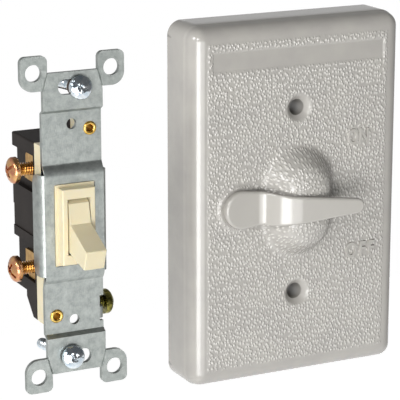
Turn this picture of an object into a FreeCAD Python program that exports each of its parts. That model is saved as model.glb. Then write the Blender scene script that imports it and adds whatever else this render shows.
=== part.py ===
import FreeCAD
import Part
import math
import os

# Weatherproof switch: a toggle switch on its steel strap and, beside it, the die-cast lever
# cover that screws over it. Millimetres, +Z up, both faces look to -Y. The origin is midway
# between the cover's two screw holes, on the plane of the cover's back rim.

V = FreeCAD.Vector

# Standard spacings that both halves share
COVER_SCREW_SPACING = 60.325
BOX_SCREW_SPACING = 83.34

# Cover: outside
COVER_W = 75.0
COVER_H = 116.2
COVER_D = 17.2
SKIRT_D = 12.2
CORNER_R = 4.7
LEDGE = 0.35
FRONT_R = 4.2
PLATE_T = 2.6
SKIRT_T = 2.8
DOME_H = 9.0
DOME_STRAIGHT = 11.0
DOME_CROWN_R = 22.0
DOME_CROWN_TURN = 12.0
DOME_SHOULDER_R = 5.5
DOME_FLANK = 56.0
DOME_FOOT_R = 2.5
COVER_HOLE_R = 2.6
COVER_SINK_R = 4.1
COVER_SINK_DEPTH = 1.7
POST_R = 4.5
GASKET_PAD = 7.0
GASKET_T = 2.4
GASKET_FIT = 0.2
GASKET_BAND = 10.5
GASKET_CORNER_R = 4.0

# Lever, its spindle and what turns with it
PIVOT_X = -21.1
LEVER_PAD_R = 6.05
LEVER_PAD_H = 3.4
LEVER_TIP_X = 17.0
LEVER_TIP_R = 2.4
LEVER_TIP_DROP = 0.4
LEVER_T = 2.1
LEVER_FOOT_X = -16.0
LEVER_FOOT_R = 3.4
LEVER_RAMP = 58.0
LEVER_RAMP_L = 1.2
LEVER_CREST_R = 11.2
LEVER_SLOPE = 5.5
SEAT_R = 7.3
SEAT_H = 0.6
PAD_GAP = 0.15
SPINDLE_R = 3.95
SPINDLE_FIT = 0.05
HUB_R = 7.2
HUB_H = 1.2
SPINDLE_END_R = 3.3
SPINDLE_FLATS = 5.0
SPINDLE_END_L = 3.2
O_RING_R = 0.5
O_RING_ROOM = 0.1
FORK_T = 1.5
FORK_HUB_R = 6.0
FORK_ARM = 9.0
FORK_GAP = 9.4
FORK_TINE = 3.0
FORK_REACH = 5.5
FORK_ROOT = -5.0
FORK_NECK_L = 4.5
FORK_SHOULDER = 1.5
FORK_FIT = 0.05
SPRING_WASHER_T = 0.3
SPRING_WASHER_ROOM = 0.6
SPRING_WASHER_R = 6.3
CLIP_T = 0.6
CLIP_R = 5.0
CLIP_SEAT_R = 2.3
STACK_GAP = 0.1

# Where the switch stands, measured at the middle of its strap's front face
SWITCH_X = -79.3
SWITCH_Y = -23.3
SWITCH_Z = 3.6

# Strap
STRAP_T = 1.5
STRAP_W = 19.0
STRAP_END = 46.1
JOG = 1.5
JOG_OUT = (33.9, 34.9)
JOG_IN = (16.2, 18.2)
CHANNEL_W = 21.8
CHANNEL_R = 2.5
CHANNEL_Z = 15.6
FLANGE_D = 6.2
FLANGE_CORNER_R = 3.0
WINDOW_W = 13.1
WINDOW_H = 25.3
EAR_IN = 8.0
EAR_OUT = 16.5
EAR_LOW = 41.0
EAR_HIGH = 51.4
EAR_CORNER_R = 1.8
EAR_SHOULDER_R = 4.0
EAR_HOLE_X = 12.35
EAR_HOLE_Z = 46.45
EAR_HOLE_R = 2.55
SCORE_DEPTH = 0.35
SCORE_W = 0.5
SLOT_L = 9.4
SLOT_H = 4.6
TAP_R = 1.6
TAB_W = 6.4
TAB_Z = -27.8
TAB_NOTCH = 1.2
TAB_NOTCH_CLEAR = 0.8
TAB_D = 10.5
TAB_NECK_TOP = -27.4
TAB_LEAF_FRONT = 4.9

# Housings
FLANGE_FIT = 0.05
BODY_Z = 24.0
BODY_D = 18.4
FRONT_LAYER = 5.1
LUG_Z = 31.0
LUG_X = 2.4
LUG_D = 3.2
LUG_SLOPE_D = 8.4
LUG_SLOPE_Z = 25.6
RIVET_EDGE = 3.55
RIVET_Z = 28.4
RIVET_SEAT_R = 3.0
RIVET_SEAT_DEPTH = 1.0
WINDOW_FIT = 0.2
BLOCK_W = 10.6
BLOCK_Z = 11.6
BLOCK_FRONT = 3.35
BLOCK_EDGE_R = 0.4
OPENING_W = 7.4
OPENING_H = 17.2
CASE_WALL = 2.0
CASE_FLOOR = 2.0
CAVITY_X = 5.4
RECESS_DEPTH = 1.75
RECESS_Z = (8.3, 19.8)
PANEL_Z = (-5.3, 1.7)
PANEL_DEPTH = 0.4

# Toggle and the snap mechanism
PIVOT_D = 6.3
TOGGLE_TILT = 19.5
TOGGLE_W = 6.6
BAT_REACH = 22.5
BAT_TIP = 3.17
BAT_ROOT_REACH = 9.73
BAT_ROOT = 4.55
SKIRT_KNEE = (6.4, 9.78)
SKIRT_END = (3.5, 10.4)
TOGGLE_SKIRT_T = 1.3
SWEEP_CLEAR = 0.4
TRUNNION_R = 1.7
TRUNNION_FIT = 0.08
TRUNNION_L = 1.9
TOGGLE_HUB_R = 3.2
TAIL_HALF = 2.6
TAIL_REACH = 6.5
PLUNGER_R = 1.5
PLUNGER_FIT = 0.1
PLUNGER_REACH = 9.65
PLUNGER_L = 4.9
SPRING_WIRE = 0.3
SPRING_R = 1.1
SPRING_TURNS = 7
SPRING_END_GAP = 0.05
ROCKER_AT = 17.2
ROCKER_T = 0.8
ROCKER_W = 5.0
ROCKER_V = 14.0
ROCKER_TILT = 7.0
ROCKER_UP = 7.0
ROCKER_DOWN = 11.0
CONTACT_Z = 9.5
CONTACT_R = 1.3
CONTACT_T = 0.9
CONTACT_GAP = 0.12
SADDLE_GAP = 0.2

# Terminals
TERMINAL_T = 0.9
TERMINAL_Z = 15.3
TERMINAL_H = 8.4
TERMINAL_FRONT = 9.4
TERMINAL_BACK = 17.4
LIMB_Z = (11.2, 15.2)
LIMB_W = 6.0
LIMB_X = 3.0
LIMB_FIT = 0.15

# Screws and eyelets
TERMINAL_SCREW_D = 12.4
TERMINAL_SCREW_R = 2.05
TERMINAL_HEAD_R = 4.0
TERMINAL_HEAD_H = 2.8
TERMINAL_OUT = 5.0
TERMINAL_SCREW_L = 8.6
TERMINAL_TURN = 35.0
SCREW_HOLE_FIT = 0.25
GROUND_HEAD_R = 3.85
GROUND_HEAD_H = 3.1
GROUND_OUT = 1.9
GROUND_SCREW_L = 6.0
GROUND_SCREW_D = 7.3
MOUNT_SCREW_R = 1.75
MOUNT_HEAD_R = 3.6
MOUNT_HEAD_H = 2.2
MOUNT_SCREW_L = 24.2
DRIVE_SLOT_W = 0.9
DRIVE_DEPTH = 0.9
UPPER_SCREW = (2.0, 41.3, -4.5, 0.0)
LOWER_SCREW = (-1.85, -41.1, -6.5, 1.5)
WASHER_T = 0.8
WASHER_R = 2.9
EYELET_R = 1.45
EYELET_BORE = 1.0
EYELET_HEAD_R = 2.1
EYELET_HEAD_H = 0.5

SWITCH_AT = V(SWITCH_X, SWITCH_Y, SWITCH_Z)
FACE = -COVER_D
PLATE_IN = FACE + PLATE_T
SEAT_TOP = FACE - SEAT_H
HUB_END = PLATE_IN + HUB_H
FORK_FACE = HUB_END + SPRING_WASHER_ROOM
STRAP_BACK = JOG + STRAP_T
SEAM = STRAP_BACK + FRONT_LAYER
CASE_BACK = SEAM + BODY_D
BODY_X = CHANNEL_W / 2 - STRAP_T - FLANGE_FIT
RIVET_X = BODY_X - RIVET_EDGE
RECESS_FLOOR = -BODY_X + RECESS_DEPTH
TERMINAL_OUTER = RECESS_FLOOR - TERMINAL_T


def box(x0, x1, y0, y1, z0, z1):
    return Part.makeBox(x1 - x0, y1 - y0, z1 - z0, V(x0, y0, z0))


def cyl(r, start, direction, length):
    return Part.makeCylinder(r, length, start, direction)


def rounded_rect(w, h, r, y, x=0.0, z=0.0):
    """Closed wire of a rounded rectangle that faces -Y."""
    edges = []
    a = w / 2 - r
    b = h / 2 - r
    for sx, sz, start in ((1, 1, 0), (-1, 1, 90), (-1, -1, 180), (1, -1, 270)):
        centre = V(x + sx * a, y, z + sz * b)
        t0 = math.radians(start)
        t1 = math.radians(start + 45)
        t2 = math.radians(start + 90)
        ends = [centre + V(r * math.cos(t), 0, r * math.sin(t)) for t in (t0, t1, t2)]
        edges.append(Part.Arc(*ends).toShape())
    loops = []
    for one, two in zip(edges, edges[1:] + edges[:1]):
        loops.append(one)
        p = one.Vertexes[-1].Point
        q = two.Vertexes[0].Point
        if p.distanceToPoint(q) > 1e-6:
            loops.append(Part.makeLine(p, q))
    return Part.Wire(loops)


def slab(w, h, r, y0, y1, x=0.0, z=0.0):
    """Rounded rectangular block between two depths."""
    return Part.Face(rounded_rect(w, h, r, y0, x, z)).extrude(V(0, y1 - y0, 0))


def prism_xz(points, y0, y1):
    """Flat outline of (x, z) points, thick from y0 to y1."""
    ring = [V(x, y0, z) for x, z in points]
    return Part.Face(Part.makePolygon(ring + ring[:1])).extrude(V(0, y1 - y0, 0))


def prism_yz(points, x0, x1):
    """Side outline of (y, z) points, wide from x0 to x1."""
    ring = [V(x0, y, z) for y, z in points]
    return Part.Face(Part.makePolygon(ring + ring[:1])).extrude(V(x1 - x0, 0, 0))


def turned(points, origin, axis):
    """Solid turned about an axis from (radius, distance along the axis) points."""
    side = V(0, 0, 1) if abs(axis.z) < 0.9 else V(1, 0, 0)
    ring = [origin + axis * d + side * r for r, d in points]
    face = Part.Face(Part.makePolygon(ring + ring[:1]))
    return face.revolve(origin, axis, 360)


def near(shape, test):
    return [e for e in shape.Edges if test(e.BoundBox, e)]


def fuse(shapes):
    whole = shapes[0].fuse(shapes[1:]) if len(shapes) > 1 else shapes[0]
    return whole.removeSplitter()


# Cover -------------------------------------------------------------------------


def dome(inset):
    """Long dome with round ends on the plate, or the same dome drawn in by a wall for its hollow."""
    crown = DOME_CROWN_R - inset
    shoulder = DOME_SHOULDER_R - inset
    foot = DOME_FOOT_R + inset
    a = math.radians(DOME_CROWN_TURN)
    b = math.radians(DOME_FLANK)
    x, y = crown * math.sin(a), crown * (1 - math.cos(a))
    p0 = V(0, 0, 0)
    p1 = V(x, y, 0)
    m1 = V(crown * math.sin(a / 2), crown * (1 - math.cos(a / 2)), 0)
    hub = p1 + V(-math.sin(a), math.cos(a), 0) * shoulder
    mid = (a + b) / 2
    m2 = hub + V(math.sin(mid), -math.cos(mid), 0) * shoulder
    p2 = hub + V(math.sin(b), -math.cos(b), 0) * shoulder
    p3_y = DOME_H - foot * (1 - math.cos(b))
    p3 = V(p2.x + (p3_y - p2.y) / math.tan(b), p3_y, 0)
    heel = p3 + V(math.sin(b), -math.cos(b), 0) * foot
    m3 = heel + V(-math.sin(b / 2), math.cos(b / 2), 0) * foot
    p4 = V(heel.x, DOME_H, 0)
    p5 = p4 + V(0, 0.5, 0)
    p6 = V(0, p5.y, 0)
    profile = Part.Wire([
        Part.Arc(p0, m1, p1).toShape(),
        Part.Arc(p1, m2, p2).toShape(),
        Part.makeLine(p2, p3),
        Part.Arc(p3, m3, p4).toShape(),
        Part.makeLine(p4, p5),
        Part.makeLine(p5, p6),
        Part.makeLine(p6, p0),
    ])
    half = Part.Face(profile)
    right = half.extrude(V(0, 0, DOME_STRAIGHT))
    right.translate(V(0, 0, -DOME_STRAIGHT / 2))
    left = right.copy()
    left.rotate(V(0, 0, 0), V(0, 1, 0), 180)
    lower = half.revolve(V(0, 0, 0), V(0, 1, 0), 180)
    upper = lower.copy()
    upper.rotate(V(0, 0, 0), V(0, 1, 0), 180)
    lower.translate(V(0, 0, -DOME_STRAIGHT / 2))
    upper.translate(V(0, 0, DOME_STRAIGHT / 2))
    whole = fuse([right, left, lower, upper])
    whole.translate(V(0, FACE - DOME_H + inset, 0))
    return whole


def cover_plate():
    skirt = slab(COVER_W, COVER_H, CORNER_R, -SKIRT_D, 0)
    front = slab(COVER_W - 2 * LEDGE, COVER_H - 2 * LEDGE, CORNER_R - LEDGE, FACE, -SKIRT_D)
    rim = near(front, lambda b, e: b.YMax < FACE + 0.01)
    front = front.makeFillet(FRONT_R, rim)
    outside = skirt.fuse(front)
    seat = cyl(SEAT_R, V(PIVOT_X, SEAT_TOP, 0), V(0, 1, 0), SEAT_H + 1)
    outside = outside.fuse([dome(0), seat])

    inner_w = COVER_W - 2 * SKIRT_T
    inner_h = COVER_H - 2 * SKIRT_T
    hollow = slab(inner_w, inner_h, CORNER_R - SKIRT_T, PLATE_IN, 1)
    ends = near(hollow, lambda b, e: b.YMax < PLATE_IN + 0.01)
    hollow = hollow.makeFillet(CORNER_R - SKIRT_T - 0.3, ends)
    shell = outside.cut([hollow, dome(PLATE_T)])

    additions = []
    for sx in (1, -1):
        for sz in (1, -1):
            x0, x1 = sorted((sx * (COVER_W / 2 - SKIRT_T / 2), sx * (COVER_W / 2 - SKIRT_T - GASKET_PAD)))
            z0, z1 = sorted((sz * (COVER_H / 2 - SKIRT_T / 2), sz * (COVER_H / 2 - SKIRT_T - GASKET_PAD)))
            pad = box(x0, x1, PLATE_IN - PLATE_T / 2, -GASKET_T, z0, z1)
            reach_x = COVER_W / 2 - SKIRT_T
            reach_z = COVER_H / 2 - SKIRT_T
            corner = near(pad, lambda b, e: b.XLength < 0.01 and b.ZLength < 0.01
                          and abs(b.XMax) > reach_x and abs(b.ZMax) > reach_z)
            additions.append(pad.makeFillet(CORNER_R - SKIRT_T, corner))
    for side in (1, -1):
        at = V(0, PLATE_IN - 0.5, side * COVER_SCREW_SPACING / 2)
        additions.append(cyl(POST_R, at, V(0, 1, 0), 0.5 - PLATE_IN))
    additions.append(cyl(HUB_R, V(PIVOT_X, PLATE_IN - 0.5, 0), V(0, 1, 0), HUB_H + 0.5))
    shell = shell.fuse(additions)

    cuts = [cyl(SPINDLE_R + SPINDLE_FIT, V(PIVOT_X, SEAT_TOP - 1, 0), V(0, 1, 0), COVER_D)]
    for side in (1, -1):
        z = side * COVER_SCREW_SPACING / 2
        cuts.append(cyl(COVER_HOLE_R, V(0, FACE - 1, z), V(0, 1, 0), COVER_D + 2))
        cuts.append(Part.makeCone(COVER_SINK_R + 0.9, COVER_HOLE_R, COVER_SINK_DEPTH * 1.6,
                                  V(0, FACE - COVER_SINK_DEPTH * 0.6, z), V(0, 1, 0)))
    return shell.cut(cuts)


def gasket():
    w = COVER_W - 2 * SKIRT_T - 2 * GASKET_FIT
    h = COVER_H - 2 * SKIRT_T - 2 * GASKET_FIT
    outer = slab(w, h, CORNER_R - SKIRT_T - GASKET_FIT, -GASKET_T, 0)
    inner = slab(w - 2 * GASKET_BAND, h - 2 * GASKET_BAND, GASKET_CORNER_R, -GASKET_T - 1, 1)
    return outer.cut(inner)


def lever_outline(y0, y1):
    """Plan of the lever: a round pad and a round tip with straight flanks between."""
    pad = V(PIVOT_X, y0, 0)
    tip = V(LEVER_TIP_X - LEVER_TIP_R, y0, -LEVER_TIP_DROP)
    along = (tip - pad).normalize()
    up = V(-along.z, 0, along.x)
    lean = math.asin((LEVER_PAD_R - LEVER_TIP_R) / (tip - pad).Length)
    upper = along * math.sin(lean) + up * math.cos(lean)
    lower = along * math.sin(lean) - up * math.cos(lean)
    pad_up = pad + upper * LEVER_PAD_R
    pad_low = pad + lower * LEVER_PAD_R
    tip_up = tip + upper * LEVER_TIP_R
    tip_low = tip + lower * LEVER_TIP_R
    wire = Part.Wire([
        Part.makeLine(pad_up, tip_up),
        Part.Arc(tip_up, tip + along * LEVER_TIP_R, tip_low).toShape(),
        Part.makeLine(tip_low, pad_low),
        Part.Arc(pad_low, pad - along * LEVER_PAD_R, pad_up).toShape(),
    ])
    return Part.Face(wire).extrude(V(0, y1 - y0, 0))


def lever_path(depth):
    """Side view of the lever's face, or of a line at a depth under it: pad, ramp, crest, long arm."""
    ramp = math.radians(LEVER_RAMP)
    slope = math.radians(LEVER_SLOPE)
    foot = LEVER_FOOT_R + depth
    crest = LEVER_CREST_R - depth
    foot_hub = V(LEVER_FOOT_X, FACE - LEVER_PAD_H - LEVER_FOOT_R, 0)
    ramp_start = foot_hub + V(math.sin(ramp), math.cos(ramp), 0) * LEVER_FOOT_R
    ramp_end = ramp_start + V(math.cos(ramp), -math.sin(ramp), 0) * LEVER_RAMP_L
    crest_hub = ramp_end + V(math.sin(ramp), math.cos(ramp), 0) * LEVER_CREST_R

    def on_foot(angle):
        return foot_hub + V(math.sin(angle), math.cos(angle), 0) * foot

    def on_crest(angle):
        return crest_hub - V(math.sin(angle), math.cos(angle), 0) * crest

    start = V(PIVOT_X - LEVER_PAD_R - 1, FACE - LEVER_PAD_H + depth, 0)
    crest_end = on_crest(slope)
    reach = (LEVER_TIP_X - crest_end.x) / math.cos(slope)
    tip = crest_end + V(math.cos(slope), -math.sin(slope), 0) * reach
    return [
        Part.makeLine(start, on_foot(0)),
        Part.Arc(on_foot(0), on_foot(ramp / 2), on_foot(ramp)).toShape(),
        Part.makeLine(on_foot(ramp), on_crest(ramp)),
        Part.Arc(on_crest(ramp), on_crest((ramp + slope) / 2), crest_end).toShape(),
        Part.makeLine(crest_end, tip),
    ]


def lever_side():
    """The lever's band of even thickness, wide in Z for trimming by its plan, clear of the seat."""
    face = lever_path(0)
    under = lever_path(LEVER_T)
    ends = [
        Part.makeLine(face[0].Vertexes[0].Point, under[0].Vertexes[0].Point),
        Part.makeLine(face[-1].Vertexes[-1].Point, under[-1].Vertexes[-1].Point),
    ]
    wire = Part.Wire(Part.__sortEdges__(face + under + ends))
    half = LEVER_PAD_R + 1
    side = Part.Face(wire).extrude(V(0, 0, 2 * half))
    side.translate(V(0, 0, -half))
    return side.cut(box(PIVOT_X - 2 * half, 0, SEAT_TOP - PAD_GAP, FACE + LEVER_T, -half, half))


def lever():
    arm = lever_side().common(lever_outline(FACE - COVER_D, FACE))
    pad_front = FACE - LEVER_PAD_H + LEVER_T / 2
    pad = cyl(LEVER_PAD_R, V(PIVOT_X, pad_front, 0), V(0, 1, 0), SEAT_TOP - PAD_GAP - pad_front)
    spindle = cyl(SPINDLE_R, V(PIVOT_X, SEAT_TOP - PAD_GAP - 0.5, 0), V(0, 1, 0),
                  FORK_FACE - SEAT_TOP + PAD_GAP + 0.5)
    end = cyl(SPINDLE_END_R, V(PIVOT_X, FORK_FACE - 0.5, 0), V(0, 1, 0), SPINDLE_END_L + 0.5)
    flats = box(PIVOT_X - SPINDLE_END_R - 1, PIVOT_X + SPINDLE_END_R + 1, FORK_FACE - 1,
                FORK_FACE + SPINDLE_END_L + 1, -SPINDLE_FLATS / 2, SPINDLE_FLATS / 2)
    end = end.common(flats)
    whole = arm.fuse([pad, spindle, end])
    groove_y = (SEAT_TOP + HUB_END) / 2
    half = O_RING_R + O_RING_ROOM
    ring = cyl(2 * SPINDLE_R, V(PIVOT_X, groove_y - half, 0), V(0, 1, 0), 2 * half)
    ring = ring.cut(cyl(SPINDLE_R - 2 * O_RING_R, V(PIVOT_X, groove_y - 2 * half, 0), V(0, 1, 0), 4 * half))
    clip_y = FORK_FACE + FORK_T + STACK_GAP / 2
    seat = cyl(2 * SPINDLE_END_R, V(PIVOT_X, clip_y, 0), V(0, 1, 0), CLIP_T + STACK_GAP)
    seat = seat.cut(cyl(CLIP_SEAT_R, V(PIVOT_X, clip_y - CLIP_T, 0), V(0, 1, 0), 4 * CLIP_T))
    return whole.cut([ring, seat]).removeSplitter()


def lever_o_ring():
    groove_y = (SEAT_TOP + HUB_END) / 2
    return Part.makeTorus(SPINDLE_R - O_RING_R, O_RING_R, V(PIVOT_X, groove_y, 0), V(0, 1, 0))


def spring_washer():
    """Coned spring washer between the hub and the fork."""
    y0 = HUB_END + STACK_GAP
    y1 = FORK_FACE - STACK_GAP
    bore = SPINDLE_R + 0.3
    points = [(bore, y1 - SPRING_WASHER_T - y0), (bore, y1 - y0),
              (SPRING_WASHER_R, SPRING_WASHER_T), (SPRING_WASHER_R, 0)]
    return turned(points, V(PIVOT_X, y0, 0), V(0, 1, 0))


def actuator_fork():
    y0 = FORK_FACE
    y1 = FORK_FACE + FORK_T
    half = FORK_ARM / 2
    tine = FORK_GAP / 2 + FORK_TINE
    neck = FORK_ROOT - FORK_SHOULDER
    plate = prism_xz([
        (PIVOT_X, -half), (neck - FORK_NECK_L, -half), (neck, -tine), (FORK_REACH, -tine),
        (FORK_REACH, tine), (neck, tine), (neck - FORK_NECK_L, half), (PIVOT_X, half)], y0, y1)
    hub = cyl(FORK_HUB_R, V(PIVOT_X, y0, 0), V(0, 1, 0), FORK_T)
    whole = plate.fuse(hub)
    mouth = box(FORK_ROOT + FORK_GAP / 2, FORK_REACH + 1, y0 - 1, y1 + 1, -FORK_GAP / 2, FORK_GAP / 2)
    throat = cyl(FORK_GAP / 2, V(FORK_ROOT + FORK_GAP / 2, y0 - 1, 0), V(0, 1, 0), FORK_T + 2)
    hole = cyl(SPINDLE_END_R + FORK_FIT, V(PIVOT_X, y0 - 1, 0), V(0, 1, 0), FORK_T + 2)
    hole = hole.common(box(PIVOT_X - 9, PIVOT_X + 9, y0 - 2, y1 + 2,
                           -SPINDLE_FLATS / 2 - FORK_FIT, SPINDLE_FLATS / 2 + FORK_FIT))
    return whole.cut([mouth, throat, hole]).removeSplitter()


def retaining_clip():
    """E-shaped clip pushed on from below into the groove of the spindle."""
    y0 = FORK_FACE + FORK_T + STACK_GAP
    disc = cyl(CLIP_R, V(PIVOT_X, y0, 0), V(0, 1, 0), CLIP_T)
    bore = cyl(CLIP_SEAT_R + 0.02, V(PIVOT_X, y0 - 1, 0), V(0, 1, 0), CLIP_T + 2)
    mouth = box(PIVOT_X - 1.8, PIVOT_X + 1.8, y0 - 1, y0 + CLIP_T + 1, -CLIP_R - 1, 0)
    relief = []
    for side in (1, -1):
        relief.append(cyl(1.1, V(PIVOT_X + side * 3.1, y0 - 1, 0.8), V(0, 1, 0), CLIP_T + 2))
    return disc.cut([bore, mouth] + relief)


# Switch: every piece below is drawn about the middle of the strap's front face ----


def strap_strip():
    """The strap's side view: flat ends, set-back rivet zones and the flat middle."""
    front = [(0, STRAP_END), (0, JOG_OUT[1]), (JOG, JOG_OUT[0]), (JOG, JOG_IN[1]), (0, JOG_IN[0])]
    front += [(y, -z) for y, z in reversed(front)]
    back = [(y + STRAP_T, z) for y, z in reversed(front)]
    return prism_yz(front + back, -STRAP_W / 2, STRAP_W / 2)


def strap_channel():
    """Middle of the strap, folded back along both sides."""
    w = CHANNEL_W / 2
    block = box(-w, w, 0, FLANGE_D, -CHANNEL_Z, CHANNEL_Z)
    folds = near(block, lambda b, e: b.YMax < 0.01 and b.XLength < 0.01)
    block = block.makeFillet(CHANNEL_R, folds)
    corners = near(block, lambda b, e: b.YMin > FLANGE_D - 0.01 and b.YLength < 0.01 and b.ZLength < 0.01)
    inner = box(-w + STRAP_T, w - STRAP_T, STRAP_T, FLANGE_D + 1, -CHANNEL_Z - 1, CHANNEL_Z + 1)
    folds = near(inner, lambda b, e: b.YMax < STRAP_T + 0.01 and b.XLength < 0.01)
    inner = inner.makeFillet(CHANNEL_R - STRAP_T, folds)
    shell = block.cut(inner)
    trims = []
    for side in (1, -1):
        y = FLANGE_D - FLANGE_CORNER_R
        z = side * (CHANNEL_Z - FLANGE_CORNER_R)
        z_out = side * (CHANNEL_Z + 0.1)
        square = box(-w - 1, w + 1, y, FLANGE_D + 1, min(z, z_out), max(z, z_out))
        trims.append(square.cut(cyl(FLANGE_CORNER_R, V(-w - 1, y, z), V(1, 0, 0), 2 * w + 2)))
    return shell.cut(trims)


def ear(side, end):
    """One plaster ear: square outside corners, a wide shoulder towards the middle."""
    w = EAR_OUT - EAR_IN
    h = EAR_HIGH - EAR_LOW
    tab = box(EAR_IN, EAR_OUT, 0, STRAP_T, EAR_LOW, EAR_HIGH)
    upper = near(tab, lambda b, e: b.ZMin > EAR_HIGH - 0.01 and b.XLength < 0.01 and b.ZLength < 0.01)
    tab = tab.makeFillet(EAR_CORNER_R, upper)
    shoulder = near(tab, lambda b, e: b.ZMax < EAR_LOW + 0.01 and b.XMin > EAR_OUT - 0.01)
    tab = tab.makeFillet(EAR_SHOULDER_R, shoulder)
    tab = tab.cut(cyl(EAR_HOLE_R, V(EAR_HOLE_X, -1, EAR_HOLE_Z), V(0, 1, 0), STRAP_T + 2))
    if side < 0:
        tab = tab.mirror(V(0, 0, 0), V(1, 0, 0))
    if end < 0:
        tab = tab.mirror(V(0, 0, 0), V(0, 0, 1))
    return tab


def score(side, end):
    """Break-off line across the neck of an ear, from inner corner to inner corner."""
    a = V(side * EAR_IN, 0, end * STRAP_END)
    b = V(side * STRAP_W / 2, 0, end * EAR_LOW)
    along = (b - a).normalize()
    across = V(along.z, 0, -along.x) * SCORE_W
    start = a - along
    deep = V(0, SCORE_DEPTH, 0)
    ring = [start + across - deep, start - across - deep, start + deep]
    return Part.Face(Part.makePolygon(ring + ring[:1])).extrude(b - a + along * 2)


def ground_tab():
    """Tab folded straight back from a notch in the strap's right edge, its neck low in the notch."""
    edge = STRAP_W / 2 - TAB_NOTCH
    z0 = TAB_Z - TAB_W / 2
    outer = edge + STRAP_T
    bend = cyl(STRAP_T, V(edge, STRAP_BACK, z0), V(0, 0, 1), TAB_NECK_TOP - z0)
    bend = bend.common(box(edge, outer, JOG, STRAP_BACK, z0, TAB_NECK_TOP))
    neck = box(edge, outer, STRAP_BACK, TAB_LEAF_FRONT + STRAP_T, z0, TAB_NECK_TOP)
    leaf = box(edge, outer, TAB_LEAF_FRONT, TAB_D, z0, z0 + TAB_W)
    return fuse([bend, neck, leaf])


def mounting_strap():
    whole = fuse([strap_strip(), strap_channel()] + [ear(s, e) for s in (1, -1) for e in (1, -1)])
    notch_z = TAB_W / 2 + TAB_NOTCH_CLEAR
    notch_x = STRAP_W / 2 - TAB_NOTCH
    cuts = [box(notch_x, STRAP_W, 0, STRAP_BACK + STRAP_T, TAB_Z - notch_z, TAB_Z + notch_z)]
    cuts.append(slab(WINDOW_W, WINDOW_H, 0.6, -1, STRAP_T + 1))
    for side in (1, -1):
        z = side * BOX_SCREW_SPACING / 2
        cuts.append(slab(SLOT_L, SLOT_H, SLOT_H / 2 - 0.01, -1, STRAP_T + 1, 0, z))
        cuts.append(cyl(TAP_R, V(0, -1, side * COVER_SCREW_SPACING / 2), V(0, 1, 0), 6))
        cuts.append(cyl(EYELET_R, V(side * RIVET_X, -1, side * RIVET_Z), V(0, 1, 0), 6))
        for end in (1, -1):
            cuts.append(score(side, end))
    whole = whole.cut(cuts)
    tab = ground_tab()
    hole = cyl(TERMINAL_SCREW_R, V(0, GROUND_SCREW_D, TAB_Z), V(1, 0, 0), 30)
    return whole.fuse(tab).cut(hole).removeSplitter()


def lug_pair(y0, y1):
    """Upper right and lower left lugs, where the eyelets hold the housing."""
    lugs = []
    for side in (1, -1):
        x0, x1 = sorted((side * LUG_X, side * BODY_X))
        z0, z1 = sorted((side * (BODY_Z - 1), side * LUG_Z))
        lugs.append(box(x0, x1, y0, y1, z0, z1))
    return lugs


def sweep_room(extra):
    """Room that the toggle's skirt sweeps about its pivot."""
    r = math.hypot(*SKIRT_KNEE) + extra
    return cyl(r, V(-TOGGLE_W / 2 - SWEEP_CLEAR, PIVOT_D, 0), V(1, 0, 0), TOGGLE_W + 2 * SWEEP_CLEAR)


def front_housing():
    layer = box(-BODY_X, BODY_X, STRAP_BACK, SEAM, -BODY_Z, BODY_Z)
    pad_x = CHANNEL_W / 2 - CHANNEL_R
    pad = box(-pad_x, pad_x, STRAP_T, STRAP_BACK + 0.5, -CHANNEL_Z + 0.4, CHANNEL_Z - 0.4)
    rim = box(-WINDOW_W / 2 + WINDOW_FIT, WINDOW_W / 2 - WINDOW_FIT, 0, STRAP_T + 0.5,
              -WINDOW_H / 2 + WINDOW_FIT, WINDOW_H / 2 - WINDOW_FIT)
    block = box(-BLOCK_W / 2, BLOCK_W / 2, -BLOCK_FRONT, 0.5, -BLOCK_Z, BLOCK_Z)
    rounds = near(block, lambda b, e: b.YMax < -BLOCK_FRONT + 0.01)
    block = block.makeFillet(BLOCK_EDGE_R, rounds)
    whole = fuse([layer, pad, rim, block] + lug_pair(STRAP_BACK, SEAM))
    opening = box(-OPENING_W / 2, OPENING_W / 2, -BLOCK_FRONT - 1, PIVOT_D, -OPENING_H / 2, OPENING_H / 2)
    cuts = [opening, sweep_room(SWEEP_CLEAR)]
    reach = TOGGLE_W / 2 + TRUNNION_L + 0.1
    r = TRUNNION_R + TRUNNION_FIT
    cuts.append(cyl(r, V(-reach, PIVOT_D, 0), V(1, 0, 0), 2 * reach))
    cuts.append(box(-reach, reach, PIVOT_D, SEAM + 1, -r, r))
    for side in (1, -1):
        cuts.append(cyl(EYELET_R, V(side * RIVET_X, 0, side * RIVET_Z), V(0, 1, 0), SEAM + 2))
    return whole.cut(cuts).removeSplitter()


def rear_lug(side):
    """Lug behind the seam with its sloping back."""
    x0, x1 = sorted((side * LUG_X, side * BODY_X))
    points = [(SEAM, side * (BODY_Z - 1)), (SEAM, side * LUG_Z), (SEAM + LUG_D, side * LUG_Z),
              (SEAM + LUG_SLOPE_D, side * LUG_SLOPE_Z), (SEAM + LUG_SLOPE_D, side * (BODY_Z - 1))]
    return prism_yz(points, x0, x1)


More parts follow.
